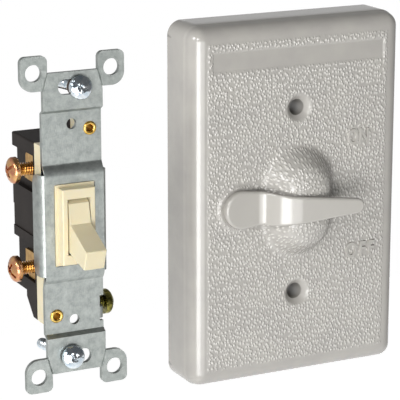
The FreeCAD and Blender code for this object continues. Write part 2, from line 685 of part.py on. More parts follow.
def rear_housing():
    case = box(-BODY_X, BODY_X, SEAM, CASE_BACK, -BODY_Z, BODY_Z)
    rounds = near(case, lambda b, e: b.YMin > CASE_BACK - 0.01 or (b.YLength > 5 and b.YMin > 1))
    case = case.makeFillet(0.6, rounds)
    whole = case.fuse([rear_lug(1), rear_lug(-1)])
    room_z = BODY_Z - CASE_WALL
    room = box(-CAVITY_X, BODY_X - CASE_WALL, SEAM - 1, CASE_BACK - CASE_FLOOR, -room_z, room_z)
    cuts = [room]
    for side in (1, -1):
        z0, z1 = sorted((side * RECESS_Z[0], side * RECESS_Z[1]))
        cuts.append(box(-BODY_X - 1, RECESS_FLOOR, SEAM + 1.2, CASE_BACK + 1, z0, z1))
        z0, z1 = sorted((side * (LIMB_Z[0] - LIMB_FIT), side * (LIMB_Z[1] + LIMB_FIT)))
        back = TERMINAL_BACK + TERMINAL_T if side > 0 else lower_plane() + TERMINAL_T
        cuts.append(box(-BODY_X, -CAVITY_X + 1, limb_plane(side) - LIMB_FIT, back + LIMB_FIT + 0.2, z0, z1))
        cuts.append(cyl(TERMINAL_SCREW_R + SCREW_HOLE_FIT, V(-BODY_X, TERMINAL_SCREW_D, side * TERMINAL_Z),
                        V(1, 0, 0), BODY_X - 1.0))
        at = V(side * RIVET_X, SEAM - 1, side * RIVET_Z)
        cuts.append(cyl(EYELET_R, at, V(0, 1, 0), 30))
        cuts.append(cyl(RIVET_SEAT_R, V(at.x, SEAM + LUG_D - RIVET_SEAT_DEPTH, at.z), V(0, 1, 0), 30))
    cuts.append(box(-BODY_X - 1, -BODY_X + PANEL_DEPTH, SEAM + 1.2, CASE_BACK + 1, PANEL_Z[0], PANEL_Z[1]))
    whole = whole.cut(cuts)
    posts = []
    for side in (1, -1):
        x0, x1 = sorted((side * (TOGGLE_W / 2 + SWEEP_CLEAR), side * (TOGGLE_W / 2 + TRUNNION_L + 0.4)))
        posts.append(box(x0, x1, SEAM, CASE_BACK - 1, -TRUNNION_R, TRUNNION_R))
    return whole.fuse(posts).removeSplitter()


def to_switch(reach, rise, tilt=TOGGLE_TILT):
    """Point of the toggle's own side view, with the bat tilted down."""
    c = math.cos(math.radians(tilt))
    s = math.sin(math.radians(tilt))
    return (PIVOT_D - reach * c - rise * s, -reach * s + rise * c)


def toggle():
    half = [(BAT_REACH, BAT_TIP), (BAT_ROOT_REACH, BAT_ROOT), SKIRT_KNEE, SKIRT_END,
            (SKIRT_END[0] - 0.9, SKIRT_END[1] - 0.9), (SKIRT_KNEE[0] - TOGGLE_SKIRT_T, SKIRT_KNEE[1] - 1.0),
            (BAT_ROOT_REACH - 2.0 * TOGGLE_SKIRT_T, BAT_ROOT - 0.4), (0, TOGGLE_HUB_R)]
    tail = [(0, TAIL_HALF), (-TAIL_REACH, TAIL_HALF)]
    points = half + tail
    points = points + [(r, -n) for r, n in reversed(points)]
    body = prism_yz([to_switch(*p) for p in points], -TOGGLE_W / 2, TOGGLE_W / 2)
    tip = to_switch(BAT_REACH, 0)
    ends = near(body, lambda b, e: b.YMin < tip[0] + 1.6 and b.ZMax < to_switch(BAT_REACH, BAT_TIP)[1] + 0.1)
    body = body.makeFillet(0.35, ends)
    pins = cyl(TRUNNION_R, V(-TOGGLE_W / 2 - TRUNNION_L, PIVOT_D, 0), V(1, 0, 0), TOGGLE_W + 2 * TRUNNION_L)
    start = to_switch(-TAIL_REACH - 1, 0)
    inner = to_switch(0.6, 0)
    axis = V(0, inner[0] - start[0], inner[1] - start[1])
    bore = cyl(PLUNGER_R + PLUNGER_FIT, V(0, start[0], start[1]), axis, axis.Length)
    return body.fuse(pins).cut(bore).removeSplitter()


def plunger():
    tip = to_switch(-PLUNGER_REACH, 0)
    foot = to_switch(-PLUNGER_REACH + PLUNGER_L, 0)
    axis = V(0, tip[0] - foot[0], tip[1] - foot[1])
    nose = V(0, tip[0], tip[1]) - axis.normalize() * PLUNGER_R
    stem = cyl(PLUNGER_R, V(0, foot[0], foot[1]), axis, PLUNGER_L - PLUNGER_R)
    return stem.fuse(Part.makeSphere(PLUNGER_R, nose)).removeSplitter()


def toggle_spring():
    """Coil spring in the tail's bore, behind the plunger."""
    start = to_switch(0.6, 0)
    foot = to_switch(-PLUNGER_REACH + PLUNGER_L, 0)
    axis = V(0, foot[0] - start[0], foot[1] - start[1])
    length = axis.Length - 2 * (SPRING_WIRE + SPRING_END_GAP)
    pitch = length / SPRING_TURNS
    helix = Part.makeHelix(pitch, length, SPRING_R)
    w = SPRING_WIRE / 2
    ring = [V(SPRING_R + dx * w, 0, dz * w) for dx, dz in ((1, 1), (-1, 1), (-1, -1), (1, -1))]
    coil = Part.Wire(helix.Edges).makePipeShell([Part.makePolygon(ring + ring[:1])], True, True)
    lift = axis.normalize() * (SPRING_WIRE + SPRING_END_GAP)
    coil.Placement = FreeCAD.Placement(V(0, start[0], start[1]) + lift, FreeCAD.Rotation(V(0, 0, 1), axis))
    return coil


def rocker_point(across, z, tilt=ROCKER_TILT):
    """Point of the rocker's side view, turned about its apex on the saddle."""
    c = math.cos(math.radians(tilt))
    s = math.sin(math.radians(tilt))
    return (ROCKER_AT + across * c + z * s, z * c - across * s)


def contact_rocker():
    """Folded brass strip: two wings lean towards the toggle, the apex sits on the saddle."""
    lean = math.tan(math.radians(ROCKER_V))
    back = [(-ROCKER_UP * lean, ROCKER_UP), (0, 0), (-ROCKER_DOWN * lean, -ROCKER_DOWN)]
    points = back + [(across - ROCKER_T, z) for across, z in reversed(back)]
    return prism_yz([rocker_point(*p) for p in points], -ROCKER_W / 2, ROCKER_W / 2)


def contact_seat(tilt):
    """Middle of the moving contact's seat and the direction that it faces, at a tilt."""
    lean = math.radians(ROCKER_V)
    at = rocker_point(-CONTACT_Z * math.tan(lean), -CONTACT_Z, tilt)
    ahead = rocker_point(-CONTACT_Z * math.tan(lean) + math.cos(lean), -CONTACT_Z - math.sin(lean), tilt)
    return V(0, at[0], at[1]), V(0, ahead[0] - at[0], ahead[1] - at[1])


def moving_contact():
    at, facing = contact_seat(ROCKER_TILT)
    return cyl(CONTACT_R, at, facing, CONTACT_T)


def lower_plane():
    """Front of the lower terminal's limb, behind the closed contacts."""
    at, facing = contact_seat(-ROCKER_TILT)
    reach = at.y + CONTACT_T * facing.y + CONTACT_R * abs(facing.z)
    return reach + CONTACT_GAP + CONTACT_T


def limb_plane(side):
    return ROCKER_AT + SADDLE_GAP if side > 0 else lower_plane()


def terminal(side):
    """Brass plate in the side recess, with a limb folded into the housing."""
    plane = limb_plane(side)
    outer = box(TERMINAL_OUTER, RECESS_FLOOR, TERMINAL_FRONT, TERMINAL_BACK,
                TERMINAL_Z - TERMINAL_H / 2, TERMINAL_Z + TERMINAL_H / 2)
    corner = near(outer, lambda b, e: b.YLength < 0.01 and b.ZLength < 0.01)
    outer = outer.makeChamfer(0.9, corner)
    strip = box(TERMINAL_OUTER, RECESS_FLOOR, TERMINAL_BACK - 1.5, plane + TERMINAL_T, LIMB_Z[0], LIMB_Z[1])
    limb = box(TERMINAL_OUTER, LIMB_X, plane, plane + TERMINAL_T, LIMB_Z[0], LIMB_Z[1])
    low = -3.0 if side > 0 else CONTACT_Z - CONTACT_R - 1.0
    leaf = box(LIMB_X - LIMB_W, LIMB_X, plane, plane + TERMINAL_T, low, LIMB_Z[1])
    whole = fuse([outer, strip, limb, leaf])
    whole = whole.cut(cyl(TERMINAL_SCREW_R, V(-20, TERMINAL_SCREW_D, TERMINAL_Z), V(1, 0, 0), 20))
    if side < 0:
        whole = whole.mirror(V(0, 0, 0), V(0, 0, 1))
    return whole


def fixed_contact():
    plane = lower_plane()
    return cyl(CONTACT_R, V(0, plane - CONTACT_T, -CONTACT_Z), V(0, 1, 0), CONTACT_T)


def screw(head_r, head_h, shank_r, shank_l, seat, out, spin=0.0):
    """Pan-head screw with a slot and a cross; seat is under the head, out points away from the shank."""
    rim = head_h * 0.45
    crown = [(0, 0), (head_r, 0), (head_r, rim)]
    for step in (0.3, 0.6, 0.8):
        crown.append((head_r * math.cos(math.asin(step)) * 0.98, rim + (head_h - rim) * step))
    crown.append((head_r * 0.45, head_h))
    crown.append((0, head_h))
    head = turned(crown, seat, out)
    shank = cyl(shank_r, seat - out * shank_l, out, shank_l + 0.2)
    tip = near(shank, lambda b, e: (b.Center - (seat - out * shank_l)).Length < 0.05 and b.DiagonalLength > 1)
    if tip:
        shank = shank.makeChamfer(shank_r * 0.3, tip[:1])
    whole = head.fuse(shank)
    side = out.cross(V(0, 0, 1)).normalize() if abs(out.z) < 0.9 else V(1, 0, 0)
    top = seat + out * (head_h - DRIVE_DEPTH)
    bars = []
    for turn in (spin, spin + 90):
        reach = head_r * (1.2 if turn == spin else 0.55)
        bar = Part.makeBox(2 * reach, DRIVE_SLOT_W, DRIVE_DEPTH + 1, V(-reach, -DRIVE_SLOT_W / 2, 0))
        frame = FreeCAD.Rotation(side, out.cross(side), out, "ZXY")
        bar.Placement = FreeCAD.Placement(top, frame.multiply(FreeCAD.Rotation(V(0, 0, 1), turn)))
        bars.append(bar)
    return whole.cut(bars).removeSplitter()


def terminal_screw(side):
    seat = V(TERMINAL_OUTER - TERMINAL_OUT, TERMINAL_SCREW_D, side * TERMINAL_Z)
    head = (TERMINAL_HEAD_R, TERMINAL_HEAD_H)
    return screw(*head, TERMINAL_SCREW_R, TERMINAL_SCREW_L, seat, V(-1, 0, 0), TERMINAL_TURN * side)


def ground_screw():
    outer = STRAP_W / 2 - TAB_NOTCH + STRAP_T
    seat = V(outer + GROUND_OUT, GROUND_SCREW_D, TAB_Z)
    return screw(GROUND_HEAD_R, GROUND_HEAD_H, TERMINAL_SCREW_R, GROUND_SCREW_L, seat, V(1, 0, 0), 20)


def screw_axis(place):
    """Direction in which a mounting screw's head points, from its droop and turn."""
    x, z, droop, turn = place
    d = math.radians(droop)
    t = math.radians(turn)
    return V(math.sin(t) * math.cos(d), -math.cos(t) * math.cos(d), -math.sin(d))


def mounting_screw(place, spin):
    out = screw_axis(place)
    lift = MOUNT_HEAD_R * math.sqrt(max(0.0, 1 - out.y ** 2))
    seat = V(place[0], -lift - 0.02, place[1])
    return screw(MOUNT_HEAD_R, MOUNT_HEAD_H, MOUNT_SCREW_R, MOUNT_SCREW_L, seat, out, spin)


def captive_washer(place):
    """Fibre washer that keeps the mounting screw in its slot."""
    out = screw_axis(place)
    lift = MOUNT_HEAD_R * math.sqrt(max(0.0, 1 - out.y ** 2))
    seat = V(place[0], -lift - 0.02, place[1])
    tilt_room = WASHER_R * math.sqrt(max(0.0, 1 - out.y ** 2))
    start = seat - out * (STRAP_T + tilt_room + lift + 0.1)
    disc = cyl(WASHER_R, start, out * -1, WASHER_T)
    return disc.cut(cyl(MOUNT_SCREW_R, seat, out * -1, MOUNT_SCREW_L))


def eyelet(side):
    """Tubular rivet: a rolled head on the strap, a flared foot in the rear lug."""
    foot = SEAM + LUG_D - RIVET_SEAT_DEPTH
    head_y = JOG
    lip = EYELET_HEAD_H / 3
    roll = (EYELET_HEAD_R - EYELET_BORE) / 3
    flare = foot + EYELET_HEAD_H
    points = [(EYELET_BORE, head_y - lip), (EYELET_BORE + roll, head_y - EYELET_HEAD_H),
              (EYELET_HEAD_R - roll, head_y - EYELET_HEAD_H), (EYELET_HEAD_R, head_y - lip),
              (EYELET_HEAD_R, head_y), (EYELET_R, head_y), (EYELET_R, foot), (EYELET_HEAD_R, foot),
              (EYELET_HEAD_R, flare), (EYELET_BORE, flare)]
    return turned(points, V(side * RIVET_X, 0, side * RIVET_Z), V(0, 1, 0))


def switch_pieces():
    return {
        "mounting_strap": mounting_strap(),
        "front_housing": front_housing(),
        "rear_housing": rear_housing(),
        "toggle": toggle(),
        "plunger": plunger(),
        "toggle_spring": toggle_spring(),
        "contact_rocker": contact_rocker(),
        "moving_contact": moving_contact(),
        "fixed_contact": fixed_contact(),
        "upper_terminal": terminal(1),
        "lower_terminal": terminal(-1),
        "upper_terminal_screw": terminal_screw(1),
        "lower_terminal_screw": terminal_screw(-1),
        "ground_screw": ground_screw(),
        "upper_eyelet": eyelet(1),
        "lower_eyelet": eyelet(-1),
        "upper_mounting_screw": mounting_screw(UPPER_SCREW, 35),
        "lower_mounting_screw": mounting_screw(LOWER_SCREW, 40),
        "upper_captive_washer": captive_washer(UPPER_SCREW),
        "lower_captive_washer": captive_washer(LOWER_SCREW),
    }


def cover_pieces():
    return {
        "cover_plate": cover_plate(),
        "gasket": gasket(),
        "lever": lever(),
        "lever_o_ring": lever_o_ring(),
        "spring_washer": spring_washer(),
        "actuator_fork": actuator_fork(),
        "retaining_clip": retaining_clip(),
    }


pieces = cover_pieces()
for name, shape in switch_pieces().items():
    shape.translate(SWITCH_AT)
    pieces[name] = shape

os.makedirs("parts", exist_ok=True)
for name, shape in pieces.items():
    solid = shape.Solids[0] if len(shape.Solids) == 1 else shape
    solid.exportStep("parts/" + name + ".step")
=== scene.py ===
import math
import bmesh
import bpy
import numpy as np
from mathutils import Matrix, Vector


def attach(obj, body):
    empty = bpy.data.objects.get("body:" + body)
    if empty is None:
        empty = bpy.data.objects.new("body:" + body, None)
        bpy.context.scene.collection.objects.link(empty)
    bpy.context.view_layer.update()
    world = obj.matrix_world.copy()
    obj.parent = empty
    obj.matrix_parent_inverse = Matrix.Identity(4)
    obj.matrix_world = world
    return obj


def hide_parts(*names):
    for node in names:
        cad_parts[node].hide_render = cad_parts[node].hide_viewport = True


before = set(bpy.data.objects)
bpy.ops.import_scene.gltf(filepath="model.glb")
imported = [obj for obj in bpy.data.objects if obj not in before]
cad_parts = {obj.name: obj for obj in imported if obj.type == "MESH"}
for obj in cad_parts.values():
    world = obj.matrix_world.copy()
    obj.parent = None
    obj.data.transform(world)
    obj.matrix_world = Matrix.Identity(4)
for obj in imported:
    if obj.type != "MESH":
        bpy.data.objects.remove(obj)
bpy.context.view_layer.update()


# Cover casting
# The real plate is one aluminium die casting with a leather-grain face, a smooth rounded border,
# two countersunk screw holes, a low round seat for the lever and a dome over the switch's toggle.
# It is powder coated in warm light grey.
MM = 0.001  # sizes are in millimetres, and this turns them into metres
COVER_W = 75.0
COVER_H = 116.2
FACE_Y = -17.2
FACE_STEP = 0.45
CORNER = 4.35
CORNER_TURNS = np.arange(10.0, 90.0, 10.0)
BORDER_ROWS = 10
LEDGE_Y = -12.2
LEDGE = 0.35
LEDGE_ROWS = ((0.04, 0.35), (LEDGE - 0.06, 0.75))
WALL_ROWS = (-10.8, -7.0, -3.5, 0.0)
HOLE_Z = 30.1625
HOLE_R = 2.6
SINK_R = 4.1
SINK_DEPTH = 1.7
PIVOT_X = -21.1
SEAT_R = 7.3
SEAT_H = 0.6
SEAT_EDGE = 0.3
BORE_R = 4.0
SNAP = 0.14
DOME_H = 9.0
DOME_STRAIGHT = 11.0
DOME_CROWN_R = 22.0
DOME_CROWN_TURN = math.radians(12.0)
DOME_SHOULDER_R = 5.5
DOME_FLANK = math.radians(56.0)
DOME_FOOT_R = 2.5
BAND = (-30.5, 31.0, 43.3, 50.3)
BAND_DEPTH = 0.12
BAND_FADE = 0.5
GRAIN_HALF_W = 32.2
GRAIN_HALF_H = 52.7
GRAIN_FADE = 0.6
GRAIN_TO_SEAT = 0.9
GRAIN_RING_FADE = 0.4
GRAIN_RISE = 0.1
GRAIN_PITCH = 1.12
GRAIN_STRETCH = (1.1, 0.84, 1.0)
GRAIN_RELIEF = 0.21
GRAIN_DROP_R = 0.55
GRAIN_SWAY = 0.6
GRAIN_SWAY_PITCH = 1.7
# Colour of the painted highlight on the tops of the grain drops, and how tightly it gathers there.
GRAIN_PAINTED_HIGHLIGHT = "D3D0CA"
GRAIN_PAINTED_HIGHLIGHT_POWER = 2.0
PEEL_PITCH = 2.2
PEEL_RELIEF = 0.1
COAT_CLOUDS_PER_CM = 1.4
HAIR = 0.02
TILT = 0.05


def rgb(code):
    """Linear colour from an sRGB hex string."""
    parts = [int(code[i:i + 2], 16) / 255 for i in (0, 2, 4)]
    return tuple(c / 12.92 if c <= 0.04045 else ((c + 0.055) / 1.055) ** 2.4 for c in parts) + (1.0,)


def add(tree, kind, links=(), **settings):
    """One node: settings are its own properties or its inputs by name or number, links (output, input)."""
    n = tree.nodes.new("ShaderNode" + kind)
    for key, value in settings.items():
        name = key.replace("_", " ")
        if hasattr(n, key):
            setattr(n, key, value)
        elif name in n.inputs:
            n.inputs[name].default_value = value
        else:
            n.inputs[int(key[1:])].default_value = value
    for source, target in links:
        tree.links.new(source, n.inputs[target])
    return n


def material(name):
    """Empty material with a Principled shader; gives the material, its tree, the shader and the place."""
    m = bpy.data.materials.new(name)
    m.use_nodes = True
    tree = m.node_tree
    shader = tree.nodes["Principled BSDF"]
    place = tree.nodes.new("ShaderNodeTexCoord").outputs["Object"]
    return m, tree, shader, place


def clouded(tree, shader, place, per_cm, detail, colours, edges, rough=0.5):
    """Base colour that drifts between two tones as a noise passes two edges; gives the noise and tones."""
    cloud = add(tree, "TexNoise", [(place, "Vector")],
                Scale=per_cm / (10 * MM), Detail=detail, Roughness=rough)
    tones = add(tree, "ValToRGB", [(cloud.outputs["Fac"], "Fac")])
    for stop, edge, colour in zip(tones.color_ramp.elements, edges, colours):
        stop.position = edge
        stop.color = rgb(colour)
    tree.links.new(tones.outputs["Color"], shader.inputs["Base Color"])
    return cloud, tones


def mesh_piece(name, points, faces, body, slot, *nodes, merge=1e-7):
    """Object from points in millimetres and faces of indexes, doubles merged, riding a body."""
    mesh = bpy.data.meshes.new(name)
    mesh.from_pydata((np.asarray(points) * MM).tolist(), [], [list(dict.fromkeys(f)) for f in faces])
    bm = bmesh.new()
    bm.from_mesh(mesh)
    bmesh.ops.remove_doubles(bm, verts=bm.verts, dist=merge)
    bmesh.ops.dissolve_degenerate(bm, edges=bm.edges, dist=merge)
    bm.to_mesh(mesh)
    bm.free()
    mesh.polygons.foreach_set("use_smooth", np.ones(len(mesh.polygons), bool))
    piece = bpy.data.objects.new(name, mesh)
    bpy.context.scene.collection.objects.link(piece)
    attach(piece, body)
    if nodes:
        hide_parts(*nodes)
    return piece


def grid_faces(rows, cols, first=0, closed=False):
    """Quads of a grid of points kept row by row; closed joins the last column to the first."""
    i = np.arange(rows - 1)[:, None]
    j = np.arange(cols if closed else cols - 1)[None, :]
    k = (j + 1) % cols
    quads = np.stack([i * cols + j, i * cols + k, (i + 1) * cols + k, (i + 1) * cols + j], axis=-1)
    return (quads.reshape(-1, 4) + first).tolist()


def points_of(mesh):
    """Points of a mesh in millimetres, a row each."""
    co = np.empty(len(mesh.vertices) * 3)
    mesh.vertices.foreach_get("co", co)
    return co.reshape(-1, 3) / MM


def cad_faces(node, keep):
    """Points in millimetres and triangles of a CAD node's faces where keep(centre, normal) holds."""
    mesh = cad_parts[node].data
    co = points_of(mesh)
    tri = np.empty(len(mesh.polygons) * 3, int)
    mesh.polygons.foreach_get("vertices", tri)
    tri = tri.reshape(-1, 3)
    a, b, c = co[tri[:, 0]], co[tri[:, 1]], co[tri[:, 2]]
    normal = np.cross(b - a, c - a)
    normal /= np.maximum(np.linalg.norm(normal, axis=1, keepdims=True), 1e-12)
    return co, tri[keep((a + b + c) / 3, normal)]


def dome_height(x, z):
    """Height of the dome over the plate.

    Its section is turned about each end of an upright middle line and carried between them. From
    the middle out it is a crown arc, a shoulder arc, a straight flank and a foot arc, each tangent
    to the next.
    """
    r = np.hypot(x, np.maximum(np.abs(z) - DOME_STRAIGHT / 2, 0))
    a, b = DOME_CROWN_TURN, DOME_FLANK
    x1 = DOME_CROWN_R * math.sin(a)
    y1 = DOME_CROWN_R * (1 - math.cos(a))
    hub_x = x1 - DOME_SHOULDER_R * math.sin(a)
    hub_y = y1 + DOME_SHOULDER_R * math.cos(a)
    x2 = hub_x + DOME_SHOULDER_R * math.sin(b)
    y2 = hub_y - DOME_SHOULDER_R * math.cos(b)
    y3 = DOME_H - DOME_FOOT_R * (1 - math.cos(b))
    x3 = x2 + (y3 - y2) / math.tan(b)
    x4 = x3 + DOME_FOOT_R * math.sin(b)
    crown = DOME_CROWN_R - np.sqrt(np.maximum(DOME_CROWN_R ** 2 - r ** 2, 0))
    shoulder = hub_y - np.sqrt(np.maximum(DOME_SHOULDER_R ** 2 - (r - hub_x) ** 2, 0))
    flank = y2 + (r - x2) * math.tan(b)
    foot = DOME_H - DOME_FOOT_R + np.sqrt(np.maximum(DOME_FOOT_R ** 2 - (x4 - r) ** 2, 0))
    drop = np.select([r < x1, r < x2, r < x3, r < x4], [crown, shoulder, flank, foot], DOME_H)
    return DOME_H - drop


def smooth(x):
    """Smoothstep of 0 to 1."""
    x = np.clip(x, 0, 1)
    return x * x * (3 - 2 * x)


def grain_area(x, z):
    """Shares of 0 to 1: where the face has its grain, and where its sunken band is."""
    grain = smooth((GRAIN_HALF_W - np.abs(x)) / GRAIN_FADE) * smooth((GRAIN_HALF_H - np.abs(z)) / GRAIN_FADE)
    grain *= smooth((np.hypot(x - PIVOT_X, z) - SEAT_R + GRAIN_TO_SEAT) / GRAIN_RING_FADE)
    grain *= smooth((np.hypot(x, np.abs(z) - HOLE_Z) - SINK_R) / GRAIN_RING_FADE)
    left, right, low, high = BAND
    band = smooth(np.minimum(np.minimum(x - left, right - x), np.minimum(z - low, high - z)) / BAND_FADE)
    return grain * (1 - band), band


def casting_front():
    """Grid over the face, as high as the plate, dome, seat, grain, band and countersinks together.

    A point inside a bore moves out to its edge, and one close to a seat's or countersink's circle
    moves onto it, which keeps these round.
    """
    half_x = COVER_W / 2 - LEDGE - CORNER
    half_z = COVER_H / 2 - LEDGE - CORNER
    nx = int(2 * half_x / FACE_STEP) + 1
    nz = int(2 * half_z / FACE_STEP) + 1
    z, x = np.meshgrid(np.linspace(-half_z, half_z, nz), np.linspace(-half_x, half_x, nx), indexing="ij")
    dropped = np.zeros(x.shape, bool)
    rings = [(0.0, HOLE_Z, HOLE_R, (SINK_R,)), (0.0, -HOLE_Z, HOLE_R, (SINK_R,)),
             (PIVOT_X, 0.0, BORE_R, (SEAT_R, SEAT_R - SEAT_EDGE, SEAT_R + SEAT_EDGE))]
    for cx, cz, bore, snaps in rings:
        dx, dz = x - cx, z - cz
        r = np.maximum(np.hypot(dx, dz), 1e-6)
        new = np.where(r < bore, bore, r)
        for s in snaps:
            new = np.where(np.abs(r - s) < SNAP, s, new)
        dropped |= r < bore - 1e-9
        x = cx + dx * new / r
        z = cz + dz * new / r
    h = dome_height(x, z)
    pivot = np.hypot(x - PIVOT_X, z)
    h = h + SEAT_H * smooth((SEAT_R + SEAT_EDGE - pivot) / (2 * SEAT_EDGE))
    hole = np.hypot(x, np.abs(z) - HOLE_Z)
    h = h - np.clip((SINK_R - hole) / (SINK_R - HOLE_R), 0, 1) * SINK_DEPTH
    grain, band = grain_area(x, z)
    h = h + GRAIN_RISE * grain - BAND_DEPTH * band
    points = np.stack([x, FACE_Y - h, z], axis=-1).reshape(-1, 3)
    gone = dropped.reshape(-1)
    faces = np.array(grid_faces(nz, nx))
    faces = faces[~gone[faces].all(axis=1)]
    return points, faces.tolist(), nz, nx


def casting_border(points, nz, nx):
    """Rings out from the face's edge: an elliptic quarter down to the ledge, then the wall to the back.

    Each ring is the face's edge moved out square to its side, and in a fan round each corner.
    """
    index = np.arange(nz * nx).reshape(nz, nx)
    sides = [index[0, :], index[:, -1], index[-1, ::-1], index[::-1, 0]]
    start, turn = [], []
    for k, side in enumerate(sides):
        start += list(side) + [side[-1]] * len(CORNER_TURNS)
        turn += [k * 90.0] * len(side) + list(k * 90.0 + CORNER_TURNS)
    turn = np.radians(turn)
    out = np.stack([np.sin(turn), np.zeros(len(turn)), -np.cos(turn)], axis=-1)
    base = points[start]
    depth = LEDGE_Y - FACE_Y
    arc = np.radians(np.linspace(0, 90, BORDER_ROWS + 1))[1:]
    profile = [(CORNER * math.sin(t), FACE_Y + depth * (1 - math.cos(t))) for t in arc]
    profile += [(CORNER + d, LEDGE_Y + back) for d, back in LEDGE_ROWS]
    profile += [(CORNER + LEDGE, y) for y in WALL_ROWS]
    rings = [base]
    for d, y in profile:
        ring = base + out * d
        ring[:, 1] = y
        rings.append(ring)
    faces = grid_faces(len(rings), len(start), first=len(points), closed=True)
    return np.concatenate(rings), [quad[::-1] for quad in faces]


def casting_inside(centre, normal):
    """True for the CAD faces of the back rim, the hollow, the posts and the bores.

    HAIR is the margin for lying on a level or circle, and TILT the one for facing a way.
    """
    x, y, z = centre.T
    facing = normal[:, 1]
    corner = CORNER + LEDGE
    qx = np.abs(x) - (COVER_W / 2 - corner)
    qz = np.abs(z) - (COVER_H / 2 - corner)
    edge = np.hypot(np.maximum(qx, 0), np.maximum(qz, 0)) + np.minimum(np.maximum(qx, qz), 0) - corner
    wall = (edge > -LEDGE - HAIR) & (y < -HAIR)
    front = (facing < -TILT) & (y < LEDGE_Y)
    seat = (np.hypot(x - PIVOT_X, z) > (BORE_R + SEAT_R) / 2) & (x < PIVOT_X + SEAT_R + HAIR)
    seat &= (y < FACE_Y - HAIR) & (np.abs(facing) < TILT)
    border = (facing < HAIR) & (y < LEDGE_Y) & (edge > -corner)
    return ~(wall | front | seat | border)


def powder_coat(name, colours, grained):
    """Baked powder coat: an even soft gloss with a faint orange peel where the metal is smooth.

    Over the leather grain it lies in raised round drops. The drops are cells of a
    plane pattern on X and Z, swayed a little, and stand where the mesh's grain attribute says. Their
    tops carry a painted highlight: a lighter colour standing in for the light they catch.
    """
    m, tree, shader, place = material(name)
    tones = clouded(tree, shader, place, COAT_CLOUDS_PER_CM, 3.0, colours, (0.35, 0.65))[1]
    peel = add(tree, "TexNoise", [(place, "Vector")], Scale=1 / (PEEL_PITCH * MM), Detail=2.0)
    film = add(tree, "Bump", [(peel.outputs["Fac"], "Height")], Strength=0.1, Distance=PEEL_RELIEF * MM)
    last = film
    if grained:
        sway = add(tree, "TexNoise", [(place, "Vector")], Scale=1 / (GRAIN_SWAY_PITCH * MM), Detail=1.0)
        push = add(tree, "VectorMath", [(sway.outputs["Color"], 0)],
                   operation="SCALE", Scale=GRAIN_SWAY * MM)
        moved = add(tree, "VectorMath", [(place, 0), (push.outputs["Vector"], 1)], operation="ADD")
        axes = add(tree, "SeparateXYZ", [(moved.outputs["Vector"], "Vector")])
        plan = add(tree, "CombineXYZ", [(axes.outputs["X"], "X"), (axes.outputs["Z"], "Y")])
        tall = add(tree, "Mapping", [(plan.outputs["Vector"], "Vector")], Scale=GRAIN_STRETCH)
        cell = add(tree, "TexVoronoi", [(tall.outputs["Vector"], "Vector")], voronoi_dimensions="2D",
                   Scale=1 / (GRAIN_PITCH * MM), Randomness=0.9)
        mound = add(tree, "MapRange", [(cell.outputs["Distance"], "Value")],
                    interpolation_type="SMOOTHSTEP", From_Max=GRAIN_DROP_R, To_Min=1.0, To_Max=0.0)
        where = add(tree, "Attribute", attribute_name="grain")
        drop = add(tree, "Math", [(mound.outputs["Result"], 0), (where.outputs["Fac"], 1)],
                   operation="MULTIPLY")
        last = add(tree, "Bump", [(drop.outputs[0], "Height"), (film.outputs["Normal"], "Normal")],
                   Strength=1.0, Distance=GRAIN_RELIEF * MM)
        # Painted highlight: the tops of the drops are mixed toward a lighter colour, standing in for the
        # light they catch.
        top = add(tree, "Math", [(drop.outputs[0], 0)], operation="POWER", _1=GRAIN_PAINTED_HIGHLIGHT_POWER)
        paler = add(tree, "Mix", [(top.outputs[0], "Factor"), (tones.outputs["Color"], "A")],
                    data_type="RGBA")
        paler.inputs["B"].default_value = rgb(GRAIN_PAINTED_HIGHLIGHT)
        tree.links.new(paler.outputs["Result"], shader.inputs["Base Color"])
    tree.links.new(last.outputs["Normal"], shader.inputs["Normal"])
    shader.inputs["Roughness"].default_value = 0.2
    shader.inputs["IOR"].default_value = 1.5
    shader.inputs["Specular IOR Level"].default_value = 0.8
    return m


front, front_faces, rows, cols = casting_front()
border, border_faces = casting_border(front, rows, cols)
inner, inner_faces = cad_faces("cover_plate", casting_inside)
casting_points = np.concatenate([front, border, inner])
inner_faces = (inner_faces + len(front) + len(border)).tolist()
casting_faces = front_faces + border_faces + inner_faces
casting = mesh_piece("cover_casting", casting_points, casting_faces, "fixed", "cast_paint", "cover_plate")
px, py, pz = points_of(casting.data).T
on_face = py < FACE_Y - dome_height(px, pz) + SINK_DEPTH
grain_layer = casting.data.attributes.new("grain", "FLOAT", "POINT")
grain_layer.data.foreach_set("value", np.where(on_face, grain_area(px, pz)[0], 0.0))
casting.data.materials.append(powder_coat("powder_coat_leather_grain_painted_highlight", ("A6A39E", "ACA9A3"), True))


# Raised words
# ON and OFF stand up from the casting beside the ends of the lever's swing, in plain block
# letters with softened edges, coated with the face. Each has its place, width and spacing.
WORD_SIZE = 6.9
WORD_MIDDLE = 0.22
WORD_HALF = 0.3
WORD_SWELL = 0.1
WORD_EDGE = 0.12
WORDS = (("ON", 17.9, 16.6, 0.68, 1.12), ("OFF", 17.7, -21.0, 0.76, 1.3))

